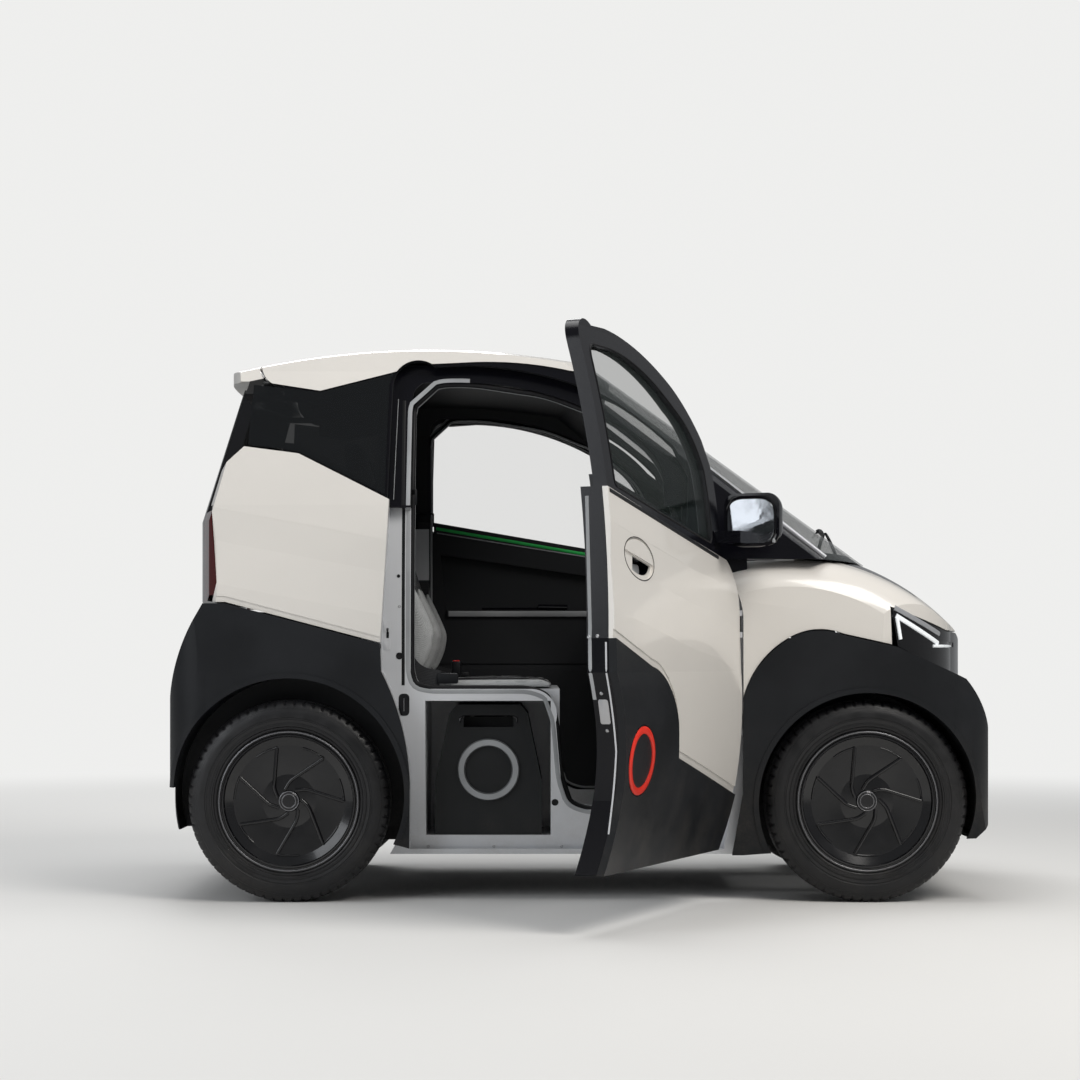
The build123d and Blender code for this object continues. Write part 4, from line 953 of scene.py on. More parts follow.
def build_wheel_trim():
    """Rings and bent ribs of each wheel cover."""
    for corner, sign, x in wheels():
        rim = Surface(["rim_" + corner])
        inward = (0, -sign, 0)
        rings = []
        for radius, thick in COVER_RINGS_AND_GLINT:
            place, _ = rim.hit((x + radius, sign * 2, HUB_Z), inward)
            section = []
            for step in range(7):
                turn = pi * step / 6
                section.append((sign * thick * sin(turn), radius - thick * 1.5 * cos(turn)))
            spot = Matrix.Translation((x, place.y - sign * 0.0003, HUB_Z))
            rings.append(moved(revolved(section, 48, "Y", False), spot))
        # Silver-grey rings; the outermost, at the rim's edge, is a painted highlight standing in for a glint
        add_piece("hub_rings_" + corner, tidy_mesh(join_parts(rings)), "silver_dark", "wheel_" + corner, 50)
        ribs = []
        for rib in range(RIB_COUNT):
            first = rib * 360 / RIB_COUNT
            line = [polar(radius, first + turn) for radius, turn in RIB_LINE]
            line = resampled(rounded_path([(u, 0, v) for u, v in line], 0.03), 0.006)
            arc = [polar(RIB_END, first + RIB_ARC * step / 8) for step in range(9)]
            for spots, section in (([(spot.x, spot.z) for spot in line], bead(0.0100, 0.0036, 6)),
                                   (arc, bead(0.0060, 0.0024, 4))):
                rays = [((x + u, sign * 2, HUB_Z + v), inward) for u, v in spots]
                ribs.append(ray_strip(rim, rays, section))
        add_piece("cover_ribs_" + corner, tidy_mesh(join_parts(ribs)), "wheel", "wheel_" + corner, 50)


# Door openings: seals and jamb fittings
OPENING = (
    (-0.466, 0.640), (-0.455, 0.600), (-0.410, 0.590), (-0.135, 0.590), (-0.080, 0.570), (-0.061, 0.497),
    (-0.047, 0.337), (-0.025, 0.270), (0.025, 0.251), (0.330, 0.251), (0.385, 0.275), (0.395, 0.330),
    (0.395, 0.880), (0.300, 1.000), (0.262, 1.100), (0.247, 1.190), (0.200, 1.262), (0.090, 1.350),
    (-0.090, 1.420), (-0.300, 1.452), (-0.400, 1.450), (-0.462, 1.400), (-0.466, 1.000),
)
SEAL_PROBES = (-0.014, -0.008, -0.002, 0.004, 0.010, 0.016)
SEAL_OFF_DOOR = 0.0130
SEAL_OFF_FLANGE = 0.008
SEAL_RADIUS = 0.0065
LIP_RADIUS = 0.0035
LIP_STEP = (0.012, 0.006)
SEAL_INWARD = 0.003
# Light-grey strip flat on the flange beside the seal, a painted highlight of its sheen: how far out it lies, and
# where it starts and ends
SHEEN_STRIP_OUT = 0.0075
SHEEN_STRIP_START = Vector((-0.30, 1.46))
SHEEN_STRIP_END = Vector((0.30, 0.243))


def closest(points, target):
    """Index of the point that lies closest to a place."""
    return min(range(len(points)), key=lambda index: (points[index] - target).length)


def seal_path(edge):
    """Middle of the weatherstrip along a door opening, clear of the closed door."""
    flange, door, rows = body_side("side_frame_right", "upper_frame"), closed_door(), []
    for spot, beyond in zip(edge, grown(edge, 0.006)):
        pair = flange.side(beyond.x, beyond.y)
        if pair is None:
            continue
        inward = Vector((spot.x - beyond.x, 0, spot.y - beyond.y)).normalized()
        near = [door.side(spot.x + inward.x * step, spot.y + inward.z * step, True) for step in SEAL_PROBES]
        deep = max([pair[0].y + SEAL_OFF_FLANGE] + [found[0].y + SEAL_OFF_DOOR for found in near if found])
        rows.append((spot, inward, deep))
    places = []
    for index, (spot, inward, _) in enumerate(rows):
        deep = max(rows[(index + step) % len(rows)][2] for step in (-2, -1, 0, 1, 2))
        places.append(Vector((spot.x, deep, spot.y)) + inward * SEAL_INWARD)
    return places


def build_seals():
    """Weatherstrip round each door opening, its slim lip, and the pale lip and rubber on the pillar."""
    flange = body_side("side_frame_right", "upper_frame")
    edge = resampled(rounded_path(OPENING, 0.045, True, 8), 0.012, True)
    places = seal_path(edge)
    normals = [Vector((0, -1, 0))] * len(places)
    bulb = [(u * 1.15, v) for u, v in round_section(SEAL_RADIUS, 12)]
    both_sides("door_seal", sweep(places, normals, bulb, True), "seal")
    middle = Vector((0, 0, 0.85))
    slim = [spot + Vector((0, LIP_STEP[0], 0)) for spot in places]
    slim = [spot + (middle - spot).normalized() * LIP_STEP[1] for spot in slim]
    both_sides("door_seal_lip", sweep(slim, normals, round_section(LIP_RADIUS, 8), True), "light_grey")

    # Light-grey strip on the flange: a painted highlight, the seal's sheen laid on as colour
    turn = grown(edge, SHEEN_STRIP_OUT)
    start = closest(turn, SHEEN_STRIP_START)
    turn = turn[start:] + turn[:start]
    if turn[3].x > turn[0].x:
        turn = [turn[0], *reversed(turn[1:])]
    pale = sweep(*flange.lay(turn[:closest(turn, SHEEN_STRIP_END) + 1]), bead(0.012, 0.0009, 4))
    both_sides("pillar_lip", pale, "light_grey")
    column = [(-0.4865, 0.60), (-0.4865, 1.40)]
    both_sides("pillar_rubber", strip_part(flange, column, bead(0.009, 0.0009, 3), 0.0), "seal")


# Jamb fittings as places (x, z), the grommets with a radius
STRIKER = (-0.484, 0.546)
GROMMETS = ((-0.497, 0.682, 0.008), (-0.063, 0.272, 0.008), (-0.500, 0.905, 0.004))
JAMB_SCREWS = ((-0.044, 0.146), (-0.42, 0.146), (-0.235, 0.146), (-0.505, 0.40), (-0.497, 0.82))
HOOK_PLATES = ((-0.532, 0.715), (-0.532, 0.765))
HOOK = (-0.530, 0.742)


def build_jamb():
    """Striker, grommets, hook and screws on the jambs and sills."""
    jamb = body_side("side_frame_right", "upper_frame", "seat_box")
    parts = {"gloss_black": [], "steel": [], "seal": [], "frame_white": []}

    def plate(finish, place, *sizes):
        """Rounded plate on the jamb. Returns where it stands."""
        spot = aimed(*jamb.side(*place))
        parts[finish].append(moved(rounded_plate(*sizes), spot))
        return spot

    spot = plate("gloss_black", STRIKER, 0.030, 0.062, 0.0007, 0.013, 0.0003)
    ends = [Vector((0, y, -0.0009)) for y in (-0.018, 0.018)]
    parts["steel"].append(moved(sweep(ends, [Vector((0, 0, 1))] * 2, round_section(0.0019, 12)), spot))
    for x, z, radius in GROMMETS:
        shape = ((-0.001, 1.25), (0.0008, 1.2), (0.0008, 0.95), (0.0002, 0.85))
        ring = revolved([(height, radius * reach) for height, reach in shape], 24, "Z")
        parts["seal"].append(moved(ring, aimed(*jamb.side(x, z))))
    for x, z in JAMB_SCREWS:
        found = jamb.side(x, z)
        if found:
            place, normal = found
            parts["steel"].append(screw_part(place - normal * 0.0016, normal, 0.005))
    for place in HOOK_PLATES:
        plate("frame_white", place, 0.020, 0.034, 0.0009, 0.006, 0.0004)
    plate("seal", HOOK, 0.007, 0.036, 0.0009, 0.003, 0.0004)
    for finish, pieces in parts.items():
        both_sides("jamb_" + finish, join_parts(pieces), finish)
    seam = [(-0.503, 1.404), (-0.513, 1.118)]
    pillar = body_side("upper_frame", "quarter_glasses")
    both_sides("pillar_seam", strip_part(pillar, seam, bead(0.002, 0.0008, 3)), "light_grey")


# Doors, in the closed right door's coordinates. Lines are (x, z), and each lining strip gives its piece,
# width, finish and line
BELT = ((-0.508, 1.0765), (-0.106, 1.0085), (0.262, 0.9465))
LINING_STRIPS = (
    ("accent_stripe", 0.010, "accent", ((-0.444, 1.1005), (0.212, 0.9885))),
    # The ledge strip is light grey where the ledge's top face catches the light: a painted highlight
    ("door_ledge", 0.018, "light_grey", ((-0.404, 0.823), (0.144, 0.823))),
)
WINDOW_REACH = 0.0035
PULL_BAR = ((-0.294, 0.8405), (-0.10, 0.8415))
PULL_GRIP = ((-0.11, 0.846), (-0.015, 0.845))
DOOR_RING = (-0.358, 0.424)
RING_STRETCH = 1.04
RING_SHAPE = (
    (0.0850, -0.002), (0.0840, 0.0022), (0.0800, 0.0036),
    (0.0690, 0.0036), (0.0665, 0.0022), (0.0655, -0.002),
)
RING_LIP_SHAPE = ((0.0885, -0.002), (0.0878, 0.0012), (0.0862, 0.0012), (0.0855, -0.002))
HANDLE = (-0.336, 0.918)
HANDLE_LONG = 0.1022
HANDLE_TALL = 0.0502
HANDLE_TILT = radians(10)
HANDLE_FLOOR = (-0.312, 0.893)
HANDLE_PLATE = (0.074, 0.026, 0.003, 0.012, 0.001)
EDGE_SCREWS = ((-0.565, 0.778), (-0.575, 0.725), (-0.597, 0.727), (-0.600, 0.500), (-0.597, 0.590))
EDGE_LATCH = (-0.598, 0.546)


def handle_oval():
    """Outline just outside the oval of the door handle."""
    oval = []
    for step in range(48):
        turn = 2 * pi * step / 48
        along, across = HANDLE_LONG * cos(turn), HANDLE_TALL * sin(turn)
        oval.append((
            HANDLE[0] + along * cos(HANDLE_TILT) + across * sin(HANDLE_TILT),
            HANDLE[1] - along * sin(HANDLE_TILT) + across * cos(HANDLE_TILT),
        ))
    return oval


def build_door_trim():
    """Outer and inner trims of the doors, the ring and the handle."""
    door, core = closed_door(), body_door("door_core_left")
    both_sides("belt_trim", strip_part(door, BELT, bead(0.011, 0.003, 4)), "dark_cladding", True)
    window = grown(shadow_outline("door_glass_left"), WINDOW_REACH)
    window = resampled(rounded_path(window, 0.01, True), 0.012, True)
    lip = strip_part(core, window, bead(0.005, 0.0022, 4), 0.004, True)
    both_sides("window_lip", lip, "seal", True)
    line = strip_part(core, window, bead(0.004, 0.0016, 4), 0.004, True, True)
    both_sides("window_line", line, "light_grey", True)
    for name, width, finish, line in LINING_STRIPS:
        both_sides(name, strip_part(door, line, bead(width, 0.0016, 4), inside=True), finish, True)
    pull = join_parts([
        strip_part(door, PULL_BAR, bead(0.006, 0.003, 4), inside=True),
        strip_part(door, PULL_GRIP, bead(0.018, 0.010, 6), inside=True),
    ])
    both_sides("door_pull", pull, "gloss_black", True)
    both_sides("door_ring", ring_part(door, DOOR_RING, RING_SHAPE, RING_STRETCH), "ring_red", True)
    # Black ring round the handle's oval: a painted shadow line along the rim of its dish
    rim = strip_part(door, handle_oval(), bead(0.0028, 0.0010, 3), 0.0, True)
    both_sides("handle_rim", rim, "seal", True)
    floor = rounded_plate(*HANDLE_PLATE)
    both_sides("handle_floor", moved(floor, aimed(*door.side(*HANDLE_FLOOR))), "light_grey", True)
    lip = ring_part(door, DOOR_RING, RING_LIP_SHAPE, RING_STRETCH)
    both_sides("door_ring_lip", lip, "gloss_black", True)


def edge_strip(low, count, line, section):
    """Upright strip on the rear face of the closed door, its Y given by a line over the height."""
    heights = [low + 0.0125 * step for step in range(count)]
    return ray_strip(closed_door(), [((-1, line(z), z), FORWARD) for z in heights], section)


def build_door_edge():
    """Screws, latch, bright edge and grey lip on the rear face of each door."""
    door = closed_door()
    places, normals = door.rays([((-1, y, z), FORWARD) for y, z in EDGE_SCREWS])
    screws = [screw_part(place, normal, 0.0045) for place, normal in zip(places, normals)]
    both_sides("door_screws", join_parts(screws), "steel", True)
    latch = rounded_plate(0.026, 0.064, 0.0012, 0.006)
    both_sides("door_latch", moved(latch, aimed(*door.hit((-1, *EDGE_LATCH), FORWARD))), "steel", True)
    bright = edge_strip(0.25, 38, lambda z: -0.6185 + max(0, 0.45 - z) * 0.12, bead(0.0045, 0.0008, 3))
    both_sides("door_bright_edge", bright, "frame_white", True)
    lip = edge_strip(0.575, 40, lambda z: -0.5775 + max(0, z - 0.75) * 0.05, bead(0.009, 0.0008, 3))
    both_sides("door_rear_lip", lip, "light_grey", True)


# Mirrors: where the glass stands, its plate, the bezel's half sizes, and the pale strip as (y, z)
MIRROR_GLASS = (-0.702, 1.045)
MIRROR_PLATE = (0.132, 0.122, 0.003, 0.040, 0.001, 10)
MIRROR_HALF = (0.071, 0.066)
MIRROR_STRIP = ((-0.770, 1.010), (-0.768, 0.972), (-0.695, 0.966))


def build_mirrors():
    """Mirror glass, bezel and pale lower strip."""
    housing = body_door("door_mirror_left")
    spot = aimed(*housing.hit((0, *MIRROR_GLASS), FORWARD))
    both_sides("mirror_glass", moved(rounded_plate(*MIRROR_PLATE), spot), "mirror", True)
    ring = rounded_path([(x, y, 0) for x, y in rectangle(*MIRROR_HALF)], 0.052, True, 10)
    bezel = sweep(ring, [Vector((0, 0, 1))] * len(ring), bead(0.007, 0.005, 4), True)
    both_sides("mirror_bezel", moved(bezel, spot), "gloss_black", True)
    line = resampled(rounded_path([(0, y, z) for y, z in MIRROR_STRIP], 0.03), 0.006)
    strip = ray_strip(housing, [(place, FORWARD) for place in line], bead(0.009, 0.003, 4))
    both_sides("mirror_strip", strip, "light_grey", True)


# Lamps and silver lines, as (x, z) seen from the side; the band over the headlamp is painted shade. The light
# strips give their width first
LIGHT_LEG = (0.012, ((0.8925, 0.728), (0.8825, 0.786)))
LIGHT_ARM = (0.0145, ((0.8785, 0.7935), (1.013, 0.7185)))
# Grey band over the headlamp: painted shade of the body paint where it curves away from the light
SHADED_LAMP_BORDER = ((0.874, 0.8155), (1.018, 0.7445))
PILLAR_LINE = ((0.330, 1.245), (0.450, 1.149), (0.600, 1.029), (0.700, 0.949))
LIGHT_BOW = Vector((0.85, -0.35, 0.710))
LIGHT_BOW_TURN = (52, 6)
PACK_RING = (-0.250, 0.362)
PACK_RING_SHAPE = (
    (0.0875, -0.002), (0.0865, 0.001), (0.084, 0.0028),
    (0.069, 0.0028), (0.0665, 0.001), (0.0655, -0.002),
)
PACK_GRIP = ((-0.33, 0.495), (-0.33, 0.512), (-0.17, 0.512), (-0.17, 0.495))


def build_lamps():
    """Light strips and pale bands of the headlamps."""
    lamp = body_side("headlamps")
    parts = []
    for wide, line in (LIGHT_LEG, LIGHT_ARM):
        parts.append(strip_part(lamp, line, bead(wide, 0.004, 4, 0.002), 0.0, spacing=0.008))
    both_sides("light_strip_side", join_parts(parts), "lamp_white")
    rays = []
    first, last = LIGHT_BOW_TURN
    for step in range(25):
        turn = radians(first - (first - last) * step / 24)
        out = Vector((cos(turn), -sin(turn), 0))
        rays.append((LIGHT_BOW + out * 1.5, -out))
    both_sides("light_strip_front", ray_strip(lamp, rays, bead(0.009, 0.004, 4, 0.002)), "lamp_white")
    # Silver strip along the headlamp's top border: painted shade of the paint, not a trim
    shoulder = body_side("headlamps", "bonnet", "front_fenders")
    both_sides("lamp_band", strip_part(shoulder, SHADED_LAMP_BORDER, bead(0.014, 0.003, 4)), "silver")


def build_glass_trim():
    """Silver line along the windscreen pillars, and the battery packs' ring and grip."""
    pillar = body_side("upper_frame", "windscreen")
    both_sides("pillar_line", strip_part(pillar, PILLAR_LINE, bead(0.014, 0.003, 4)), "silver")
    pack = body_side("battery_packs")
    both_sides("battery_ring", ring_part(pack, PACK_RING, PACK_RING_SHAPE), "light_grey")
    both_sides("battery_lip", strip_part(pack, PACK_GRIP, bead(0.005, 0.003, 4)), "gloss_black")


# Wiper, as (x, y) seen from above
WIPER_BLADE = ((0.760, 0.20), (0.742, -0.06), (0.690, -0.34))
WIPER_ARM = ((0.838, 0.30), (0.800, 0.16), (0.744, -0.06))
WIPER_RUBBER = ((-0.0015, -0.008), (0.0015, -0.008), (0.0030, 0.0), (-0.0030, 0.0))
BLADE_LIFT = 0.008
ARM_LIFT = 0.016


def build_wiper():
    """Wiper arm and blade on the windscreen."""
    glass = body_side("windscreen", "cowl")

    def line(points, section, lift):
        """Strip over the glass, seen from above."""
        path = resampled(rounded_path(points, 0.05), 0.01)
        places, normals = glass.rays([((x, y, 2), DOWN) for x, y in path])
        return sweep([spot + normal * lift for spot, normal in zip(places, normals)], normals, section)

    rubber_edge = line(WIPER_BLADE, WIPER_RUBBER, BLADE_LIFT)
    blade = line(WIPER_BLADE, bead(0.011, 0.006, 4), BLADE_LIFT)
    arm = line(WIPER_ARM, bead(0.013, 0.005, 4), ARM_LIFT)
    hub = revolved([(-0.002, 0.018), (0.018, 0.016), (0.022, 0.011)], 24, "Z")
    hub = moved(hub, aimed(*glass.hit((*WIPER_ARM[0], 2), DOWN)))
    add_piece("wiper", tidy_mesh(join_parts([rubber_edge, blade, arm, hub])), "dark_cladding", "body")


# Seats: padding filled by cloth pressure, with sewn channels, piping and belts. Outlines as (x, z)
CUSHION_SIDE = (
    (-0.426, 0.5945), (-0.426, 0.610), (-0.240, 0.616), (-0.110, 0.614), (-0.070, 0.602), (-0.072, 0.5945),
)
BOLSTER_SIDE = (
    (-0.472, 0.896), (-0.434, 0.816), (-0.410, 0.764), (-0.405, 0.744), (-0.413, 0.700), (-0.434, 0.652),
    (-0.448, 0.634), (-0.478, 0.634), (-0.486, 0.780),
)
CUSHION_EDGE = (
    (-0.402, 0.5945), (-0.402, 0.608), (-0.330, 0.614), (-0.100, 0.616), (-0.076, 0.606), (-0.070, 0.5945),
)
CUSHION_ROWS = (-0.155, -0.235, -0.315)
BACK_ROWS = (0.76, 0.86, 0.96, 1.04)
CHANNEL_REACH = 0.010
CHANNEL_DEPTH = 0.005
CUSHION_SEAM = 0.140
BACK_SEAM = 0.130
HEAD_REST_LOW = 1.08
SEAT_BASE = 0.5965
BOLSTER_BACK = -0.47


def slab(outline, low, high, rounding):
    """Side-view outline between two places along Y, its edges rounded."""
    shape = bmesh.new()
    face = shape.faces.new([shape.verts.new((x, low, z)) for x, z in outline])
    grown_face = bmesh.ops.extrude_face_region(shape, geom=[face])
    for item in grown_face["geom"]:
        if isinstance(item, bmesh.types.BMVert):
            item.co.y = high
    bmesh.ops.recalc_face_normals(shape, faces=shape.faces[:])
    bevel(shape, rounding, True)
    return shape


def node_solid(name, pick):
    """One solid of a node, picked by its middle."""
    shape = bmesh.new()
    shape.from_mesh(NODES[name].data)
    bmesh.ops.remove_doubles(shape, verts=shape.verts[:], dist=0.00001)
    left = set(shape.verts)
    chosen = set()
    while left:
        island, edge = set(), [left.pop()]
        while edge:
            vert = edge.pop()
            island.add(vert)
            for link in vert.link_edges:
                other = link.other_vert(vert)
                if other in left:
                    left.remove(other)
                    edge.append(other)
        middle = sum((vert.co for vert in island), Vector()) / len(island)
        if pick(middle):
            chosen |= island
    bmesh.ops.delete(shape, geom=[vert for vert in shape.verts if vert not in chosen], context="VERTS")
    return shape


def evaluated_mesh(holder):
    """Mesh of an object with its modifiers."""
    bpy.context.view_layer.update()
    return bpy.data.meshes.new_from_object(holder.evaluated_get(bpy.context.evaluated_depsgraph_get()))


def with_modifier(mesh, kind, **values):
    """Mesh after one modifier."""
    holder = add_object("worked", mesh)
    modifier = holder.modifiers.new("worked", kind)
    for key, value in values.items():
        setattr(modifier, key, value)
    made = evaluated_mesh(holder)
    bpy.data.objects.remove(holder)
    return made


def filled(mesh, pinned, cap):
    """Mesh swelled by cloth pressure. Pinned points stay, and no point moves more than the cap."""
    seats = settings("seats")
    scene = bpy.context.scene
    holder = add_object("filled", mesh)
    pins = holder.vertex_groups.new(name="pins")
    pins.add([vert.index for vert in mesh.vertices if pinned(vert.co)], 1.0, "REPLACE")
    modifier = holder.modifiers.new("filled", "CLOTH")
    modifier.settings.use_pressure = True
    modifier.settings.uniform_pressure_force = seats.pressure
    modifier.settings.effector_weights.gravity = 0
    modifier.settings.vertex_group_mass = "pins"
    for step in range(1, 21):
        scene.frame_set(step)
    made = evaluated_mesh(holder)
    for vert, before in zip(made.vertices, mesh.vertices):
        move = vert.co - before.co
        if move.length > cap:
            vert.co = before.co + move * (cap / move.length)
    bpy.data.objects.remove(holder)
    scene.frame_set(1)
    return made


def sink(mesh, depth):
    """Points moved inwards by the depth at each place and normal."""
    normals = [vert.normal.copy() for vert in mesh.vertices]
    for vert, normal in zip(mesh.vertices, normals):
        vert.co -= normal * depth(vert.co, normal)


def pad_mesh(shape, pinned, cap, shrink, creases):
    """Padded mesh from a plain closed shape. creases gives how deep a sewn channel runs at a place."""
    seats = settings("seats")
    plain = bpy.data.meshes.new("pad")
    shape.to_mesh(plain)
    shape.free()
    mesh = with_modifier(plain, "REMESH", mode="VOXEL", voxel_size=seats.voxel)
    if shrink:
        sink(mesh, lambda spot, normal: shrink)
    mesh = filled(mesh, pinned, cap)
    mesh = with_modifier(mesh, "SUBSURF", levels=1)
    if creases:
        sink(mesh, creases)
    return mesh


def trench(distance):
    """Depth of a sewn channel at a distance from its middle."""
    share_in = max(0.0, 1 - abs(distance) / CHANNEL_REACH)
    return CHANNEL_DEPTH * share_in * share_in * (3 - 2 * share_in)


def from_seat(spot):
    """Distance across from the middle of the seat."""
    return abs(spot.y + SEAT_Y)


def cushion_creases(spot, normal):
    """Channels on the top of a cushion."""
    if normal.z < 0.4:
        return 0.0
    across = from_seat(spot)
    rows = max(trench(spot.x - x) for x in CUSHION_ROWS) if across < CUSHION_SEAM - 0.005 else 0.0
    return max(rows, trench(across - CUSHION_SEAM))


def back_creases(spot, normal):
    """Channels on the front of a seat back."""
    if normal.x < 0.4 or spot.z > HEAD_REST_LOW + 0.01:
        return 0.0
    across = from_seat(spot)
    rows = max(trench(spot.z - z) for z in BACK_ROWS) if across < BACK_SEAM - 0.005 else 0.0
    return max(rows, trench(across - BACK_SEAM))


def on_seam(spot, seam):
    """Whether a place lies on a sewn seam that runs along the seat."""
    return abs(from_seat(spot) - seam) < 0.004


def seat_pads():
    """Each pad's name, shape, pinned places, cap, shrink, creases, finish and the node it replaces."""
    inner, outer = -SEAT_Y + SEAT_HALF, -SEAT_Y - SEAT_HALF
    return (
        ("seat_cushion", slab(CUSHION_SIDE, outer + 0.030, inner - 0.007, 0.006),
            lambda spot: spot.z < SEAT_BASE or on_seam(spot, CUSHION_SEAM),
            0.012, 0.0, cushion_creases, "seat_fabric", ("seat_cushions",)),
        ("seat_cushion_edge", slab(CUSHION_EDGE, outer + 0.006, outer + 0.026, 0.005),
            lambda spot: spot.z < SEAT_BASE,
            0.004, 0.0, None, "seat_bolster", ()),
        ("seat_back", node_solid("seat_backs", lambda middle: middle.y < 0 and middle.z < HEAD_REST_LOW),
            lambda spot: spot.z < 0.62 or on_seam(spot, BACK_SEAM) and spot.x > -0.58,
            0.014, 0.008, back_creases, "seat_fabric", ("seat_backs",)),
        ("head_rest", node_solid("seat_backs", lambda middle: middle.y < 0 and middle.z > HEAD_REST_LOW),
            lambda spot: False,
            0.010, 0.006, None, "seat_fabric", ()),
        ("seat_bolster_outer", slab(BOLSTER_SIDE, outer + 0.004, outer + 0.046, 0.010),
            lambda spot: spot.x < BOLSTER_BACK,
            0.007, 0.0, None, "seat_bolster", ()),
        ("seat_bolster_inner", slab(BOLSTER_SIDE, inner - 0.046, inner - 0.004, 0.010),
            lambda spot: spot.x < BOLSTER_BACK,
            0.007, 0.0, None, "seat_bolster", ()),
    )


# Piping: the closed line on a pad, and the way in which it is laid on it
CUSHION_HALF = SEAT_HALF - 0.046
BACK_HALF = SEAT_HALF - 0.020
PIPING = {
    "seat_cushion": ([(x, y - SEAT_Y, 0.9) for x, y in (
        (-0.410, -CUSHION_HALF), (-0.092, -CUSHION_HALF),
        (-0.092, CUSHION_HALF + 0.02), (-0.410, CUSHION_HALF + 0.02))], DOWN),
    "seat_back": ([(0.3, y - SEAT_Y, z) for z, y in (
        (0.64, -BACK_HALF), (1.07, -BACK_HALF), (1.07, BACK_HALF), (0.64, BACK_HALF))], -FORWARD),
}


def build_seats():
    """Cushions, backs, head rests and bolsters of both seats."""
    for name, shape, pinned, cap, shrink, creases, finish, replaced in seat_pads():
        mesh = pad_mesh(shape, pinned, cap, shrink, creases)
        for side in SIDES:
            twin = mesh.copy()
            if side == "left":
                twin.transform(MIRROR)
                twin.flip_normals()
            made = add_piece(name + "_" + side, twin, finish, "body", 60, replaced)
        if name in PIPING:
            corners, way = PIPING[name]
            rim = resampled(rounded_path(corners, 0.045, True), 0.012, True)
            places, normals = Surface([mesh]).rays([(spot, way) for spot in rim])
            cord = sweep(places, normals, round_section(settings("seats").piping, 8), True)
            both_sides(name + "_piping", cord, "seal")


# Belts: the strap from its guide down to its tongue, and the boxes of its fittings by two corners
STRAP = (
    (-0.478, -0.520, 1.120), (-0.486, -0.521, 0.960), (-0.492, -0.520, 0.800),
    (-0.480, -0.515, 0.665), (-0.440, -0.507, 0.628), (-0.385, -0.503, 0.619),
)
STRAP_HALF = 0.022
STRAP_THIN = 0.0007
BELT_GUIDE = ((-0.510, -0.531, 1.105), (-0.450, -0.523, 1.150), 0.003)
BELT_TONGUE = ((-0.395, -0.512, 0.604), (-0.335, -0.494, 0.634), 0.005)
BELT_STALK = ((-0.372, -0.030, 0.600), (-0.345, -0.010, 0.668), 0.005)
BELT_BUTTON = ((-0.368, -0.027, 0.667), (-0.349, -0.013, 0.6705), 0.001)


def build_belts():
    """Belts, buckles and their guides."""
    path = resampled(rounded_path(STRAP, 0.06), 0.012)
    web = rectangle(STRAP_HALF, STRAP_THIN)
    both_sides("belt", sweep(path, [Vector((0, 1, 0))] * len(path), web), "seat_fabric")
    fittings = join_parts([box_part(*BELT_GUIDE), box_part(*BELT_TONGUE)])
    both_sides("belt_guide", fittings, "dark_cladding")
    both_sides("belt_buckle", box_part(*BELT_STALK), "dark_cladding")
    # Red button with a glowing finish though it is no lamp: a painted glow
    both_sides("belt_button", box_part(*BELT_BUTTON), "lens_red")


# Studio: each light's name, place, aim, size, share of the key light and tint
FLOOR_REACH = 60
HAZE = (2.2, 7.5)
LIGHTS = (
    ("key", (2.6, -3.6, 4.6), (0.0, 0.0, 0.6), 2.6, 1.0, (1.0, 0.97, 0.93)),
    ("fill", (-4.2, -4.0, 2.6), (-0.2, 0.0, 0.7), 3.0, 0.45, (0.93, 0.96, 1.0)),
    ("back", (-1.5, 4.6, 3.8), (0.0, 0.0, 0.8), 3.0, 0.55, (1.0, 1.0, 1.0)),
    ("top", (0.0, 0.0, 5.2), (0.0, 0.0, 0.0), 3.2, 0.55, (1.0, 1.0, 1.0)),
)


def floor_material():
    """Pale floor that fades into the backdrop far away, for the camera only."""
    studio = settings("studio")
    made, tree, shader = start_material("floor", Roughness=0.75, Specular_IOR_Level=0.2)
    cloud = noise(tree, 0.8, 4.0, 0.5)
    tone = mixed(tree, cloud, darker(studio.floor, 0.97), tuple(studio.floor))
    tree.links.new(tone, shader.inputs["Base Color"])
    bump(tree, shader, noise(tree, 60.0, 4.0, 0.6), 0.001, 0.15)
    away = node(tree, "ShaderNodeVectorMath", operation="LENGTH")
    tree.links.new(position(tree), away.inputs[0])
    rays = node(tree, "ShaderNodeLightPath")
    far = maths(tree, "MULTIPLY", ramp(tree, away.outputs["Value"], *HAZE), rays.outputs["Is Camera Ray"])
    haze = node(tree, "ShaderNodeEmission", inputs={"Color": (*studio.backdrop, 1.0), "Strength": 1.0})
    blend = node(tree, "ShaderNodeMixShader", inputs={0: far, 1: shader.outputs[0], 2: haze.outputs[0]})
    tree.links.new(blend.outputs[0], tree.nodes["Material Output"].inputs["Surface"])
    return made


def studio_world():
    """Soft light all round, and a pale backdrop where the camera looks past the floor."""
    studio = settings("studio")
    world = bpy.data.worlds.new("studio")
    world.use_nodes = True
    bpy.context.scene.world = world
    tree = world.node_tree
    background = tree.nodes["Background"]
    background.inputs["Color"].default_value = (0.86, 0.88, 0.90, 1.0)
    background.inputs["Strength"].default_value = studio.world
    pale = node(tree, "ShaderNodeBackground", inputs={"Color": (*studio.backdrop, 1.0), "Strength": 1.0})
    rays = node(tree, "ShaderNodeLightPath").outputs["Is Camera Ray"]
    blend = node(tree, "ShaderNodeMixShader", inputs={0: rays, 1: background.outputs[0], 2: pale.outputs[0]})
    tree.links.new(blend.outputs[0], tree.nodes["World Output"].inputs["Surface"])


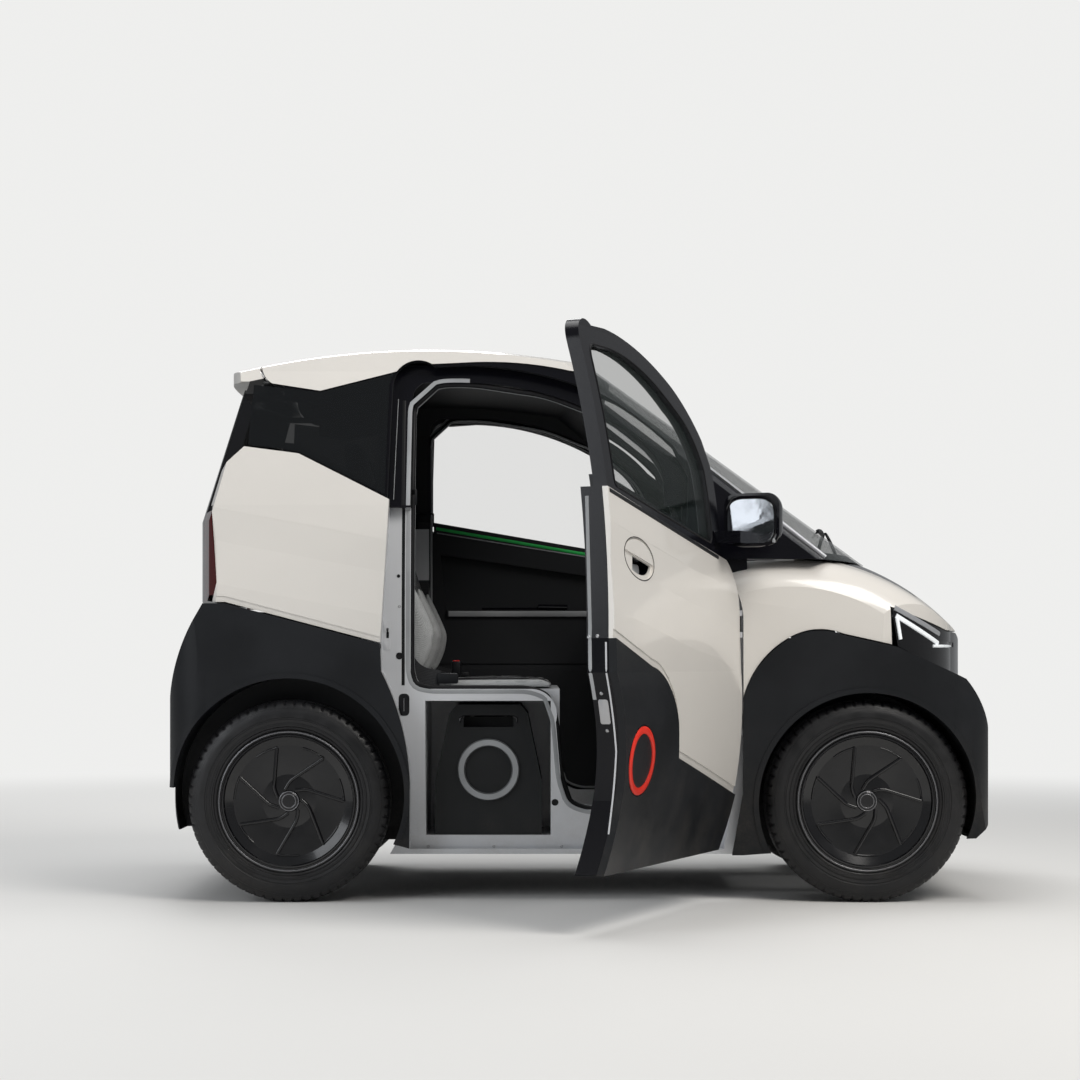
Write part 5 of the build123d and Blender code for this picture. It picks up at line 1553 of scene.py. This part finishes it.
def build_studio():
    """Pale floor, soft lights and the camera."""
    studio = settings("studio")
    sheet = bpy.data.meshes.new("floor")
    sheet.from_pydata([(x, y, 0) for x, y in rectangle(FLOOR_REACH, FLOOR_REACH)], [], [(0, 1, 2, 3)])
    add_object("floor", sheet)
    sheet.materials.append(floor_material())
    studio_world()

    for name, place, aim, size, level, tint in LIGHTS:
        light = bpy.data.lights.new(name, "AREA")
        light.energy = studio.key * level
        light.size = size
        light.color = tint
        holder = add_object(name, light)
        holder.location = place
        holder.rotation_euler = (Vector(aim) - Vector(place)).to_track_quat("-Z", "Y").to_euler()

    lens = bpy.data.cameras.new("camera")
    lens.lens = studio.focal
    lens.sensor_width = 36
    lens.shift_y = studio.shift
    lens.clip_end = 100
    camera = add_object("camera", lens)
    camera.location = (studio.offset, -studio.distance, studio.height)
    camera.rotation_euler = (pi / 2, 0, 0)
    bpy.context.scene.camera = camera
    bpy.context.scene.view_settings.view_transform = "Standard"


def dress_frame():
    """Gives every piece of the frame its finish."""
    slots = {row["node"]: row["material_slot"] for row in frame["record"]["subparts"]}
    slots["upper_frame"] = "roof_lined"
    for side in SIDES:
        slots["door_core_" + side] = "door_lined_" + side
    for name, holder in NODES.items():
        finish = material(slots[name])
        if not holder.material_slots:
            holder.data.materials.append(finish)
        for slot in holder.material_slots:
            slot.material = finish


STEPS = (
    ("dress_frame", "Finishes", "Give the frame's pieces their finishes", dress_frame),
    ("tyres", "Tyres", "Build the four tyres", build_tyres),
    ("wheel_trim", "Wheel trim", "Build hub caps", build_wheel_trim),
    ("seals", "Seals", "Build the weatherstrips round the doors", build_seals),
    ("jamb", "Jambs", "Build the strikers and screws", build_jamb),
    ("door_trim", "Door trim", "Build the trims on the doors", build_door_trim),
    ("door_edge", "Door edges", "Build latches and edge strips", build_door_edge),
    ("mirrors", "Mirrors", "Build the mirror glasses", build_mirrors),
    ("lamps", "Lamps", "Build light strips and lenses", build_lamps),
    ("glass_trim", "Glass trim", "Build pillar lines and battery rings", build_glass_trim),
    ("wiper", "Wiper", "Build the wiper", build_wiper),
    ("seats", "Seats", "Build the padded seats", build_seats),
    ("belts", "Belts", "Build the belts", build_belts),
    ("studio", "Studio", "Build the floor, lights and camera", build_studio),
)
OPERATORS = [operator(*step) for step in STEPS]


class MICROCAR_PT_panel(bpy.types.Panel):
    """The car's steps, in the sidebar of the 3D view."""

    bl_idname = "MICROCAR_PT_panel"
    bl_label = "Electric Microcar"
    bl_space_type = "VIEW_3D"
    bl_region_type = "UI"
    bl_category = "Microcar"

    def draw(self, context):
        for kind in OPERATORS:
            self.layout.operator(kind.bl_idname)


GROUP_CLASSES = {
    "finish": MicrocarFinish,
    "tyres": MicrocarTyres,
    "seats": MicrocarSeats,
    "studio": MicrocarStudio,
}


def register():
    """Registers the settings, the steps and the panel."""
    for name, kind in GROUP_CLASSES.items():
        bpy.utils.register_class(kind)
        setattr(bpy.types.Scene, "microcar_" + name, PointerProperty(type=kind))
    for kind in [*OPERATORS, MICROCAR_PT_panel]:
        bpy.utils.register_class(kind)


def unregister():
    """Takes them out again."""
    for kind in [MICROCAR_PT_panel, *reversed(OPERATORS)]:
        bpy.utils.unregister_class(kind)
    for name, kind in GROUP_CLASSES.items():
        delattr(bpy.types.Scene, "microcar_" + name)
        bpy.utils.unregister_class(kind)


def main():
    """Builds the car round its frame and notes both sizes."""
    register()
    for name, _, _, _ in STEPS:
        getattr(bpy.ops.microcar, name)()


if __name__ == "__main__":
    main()
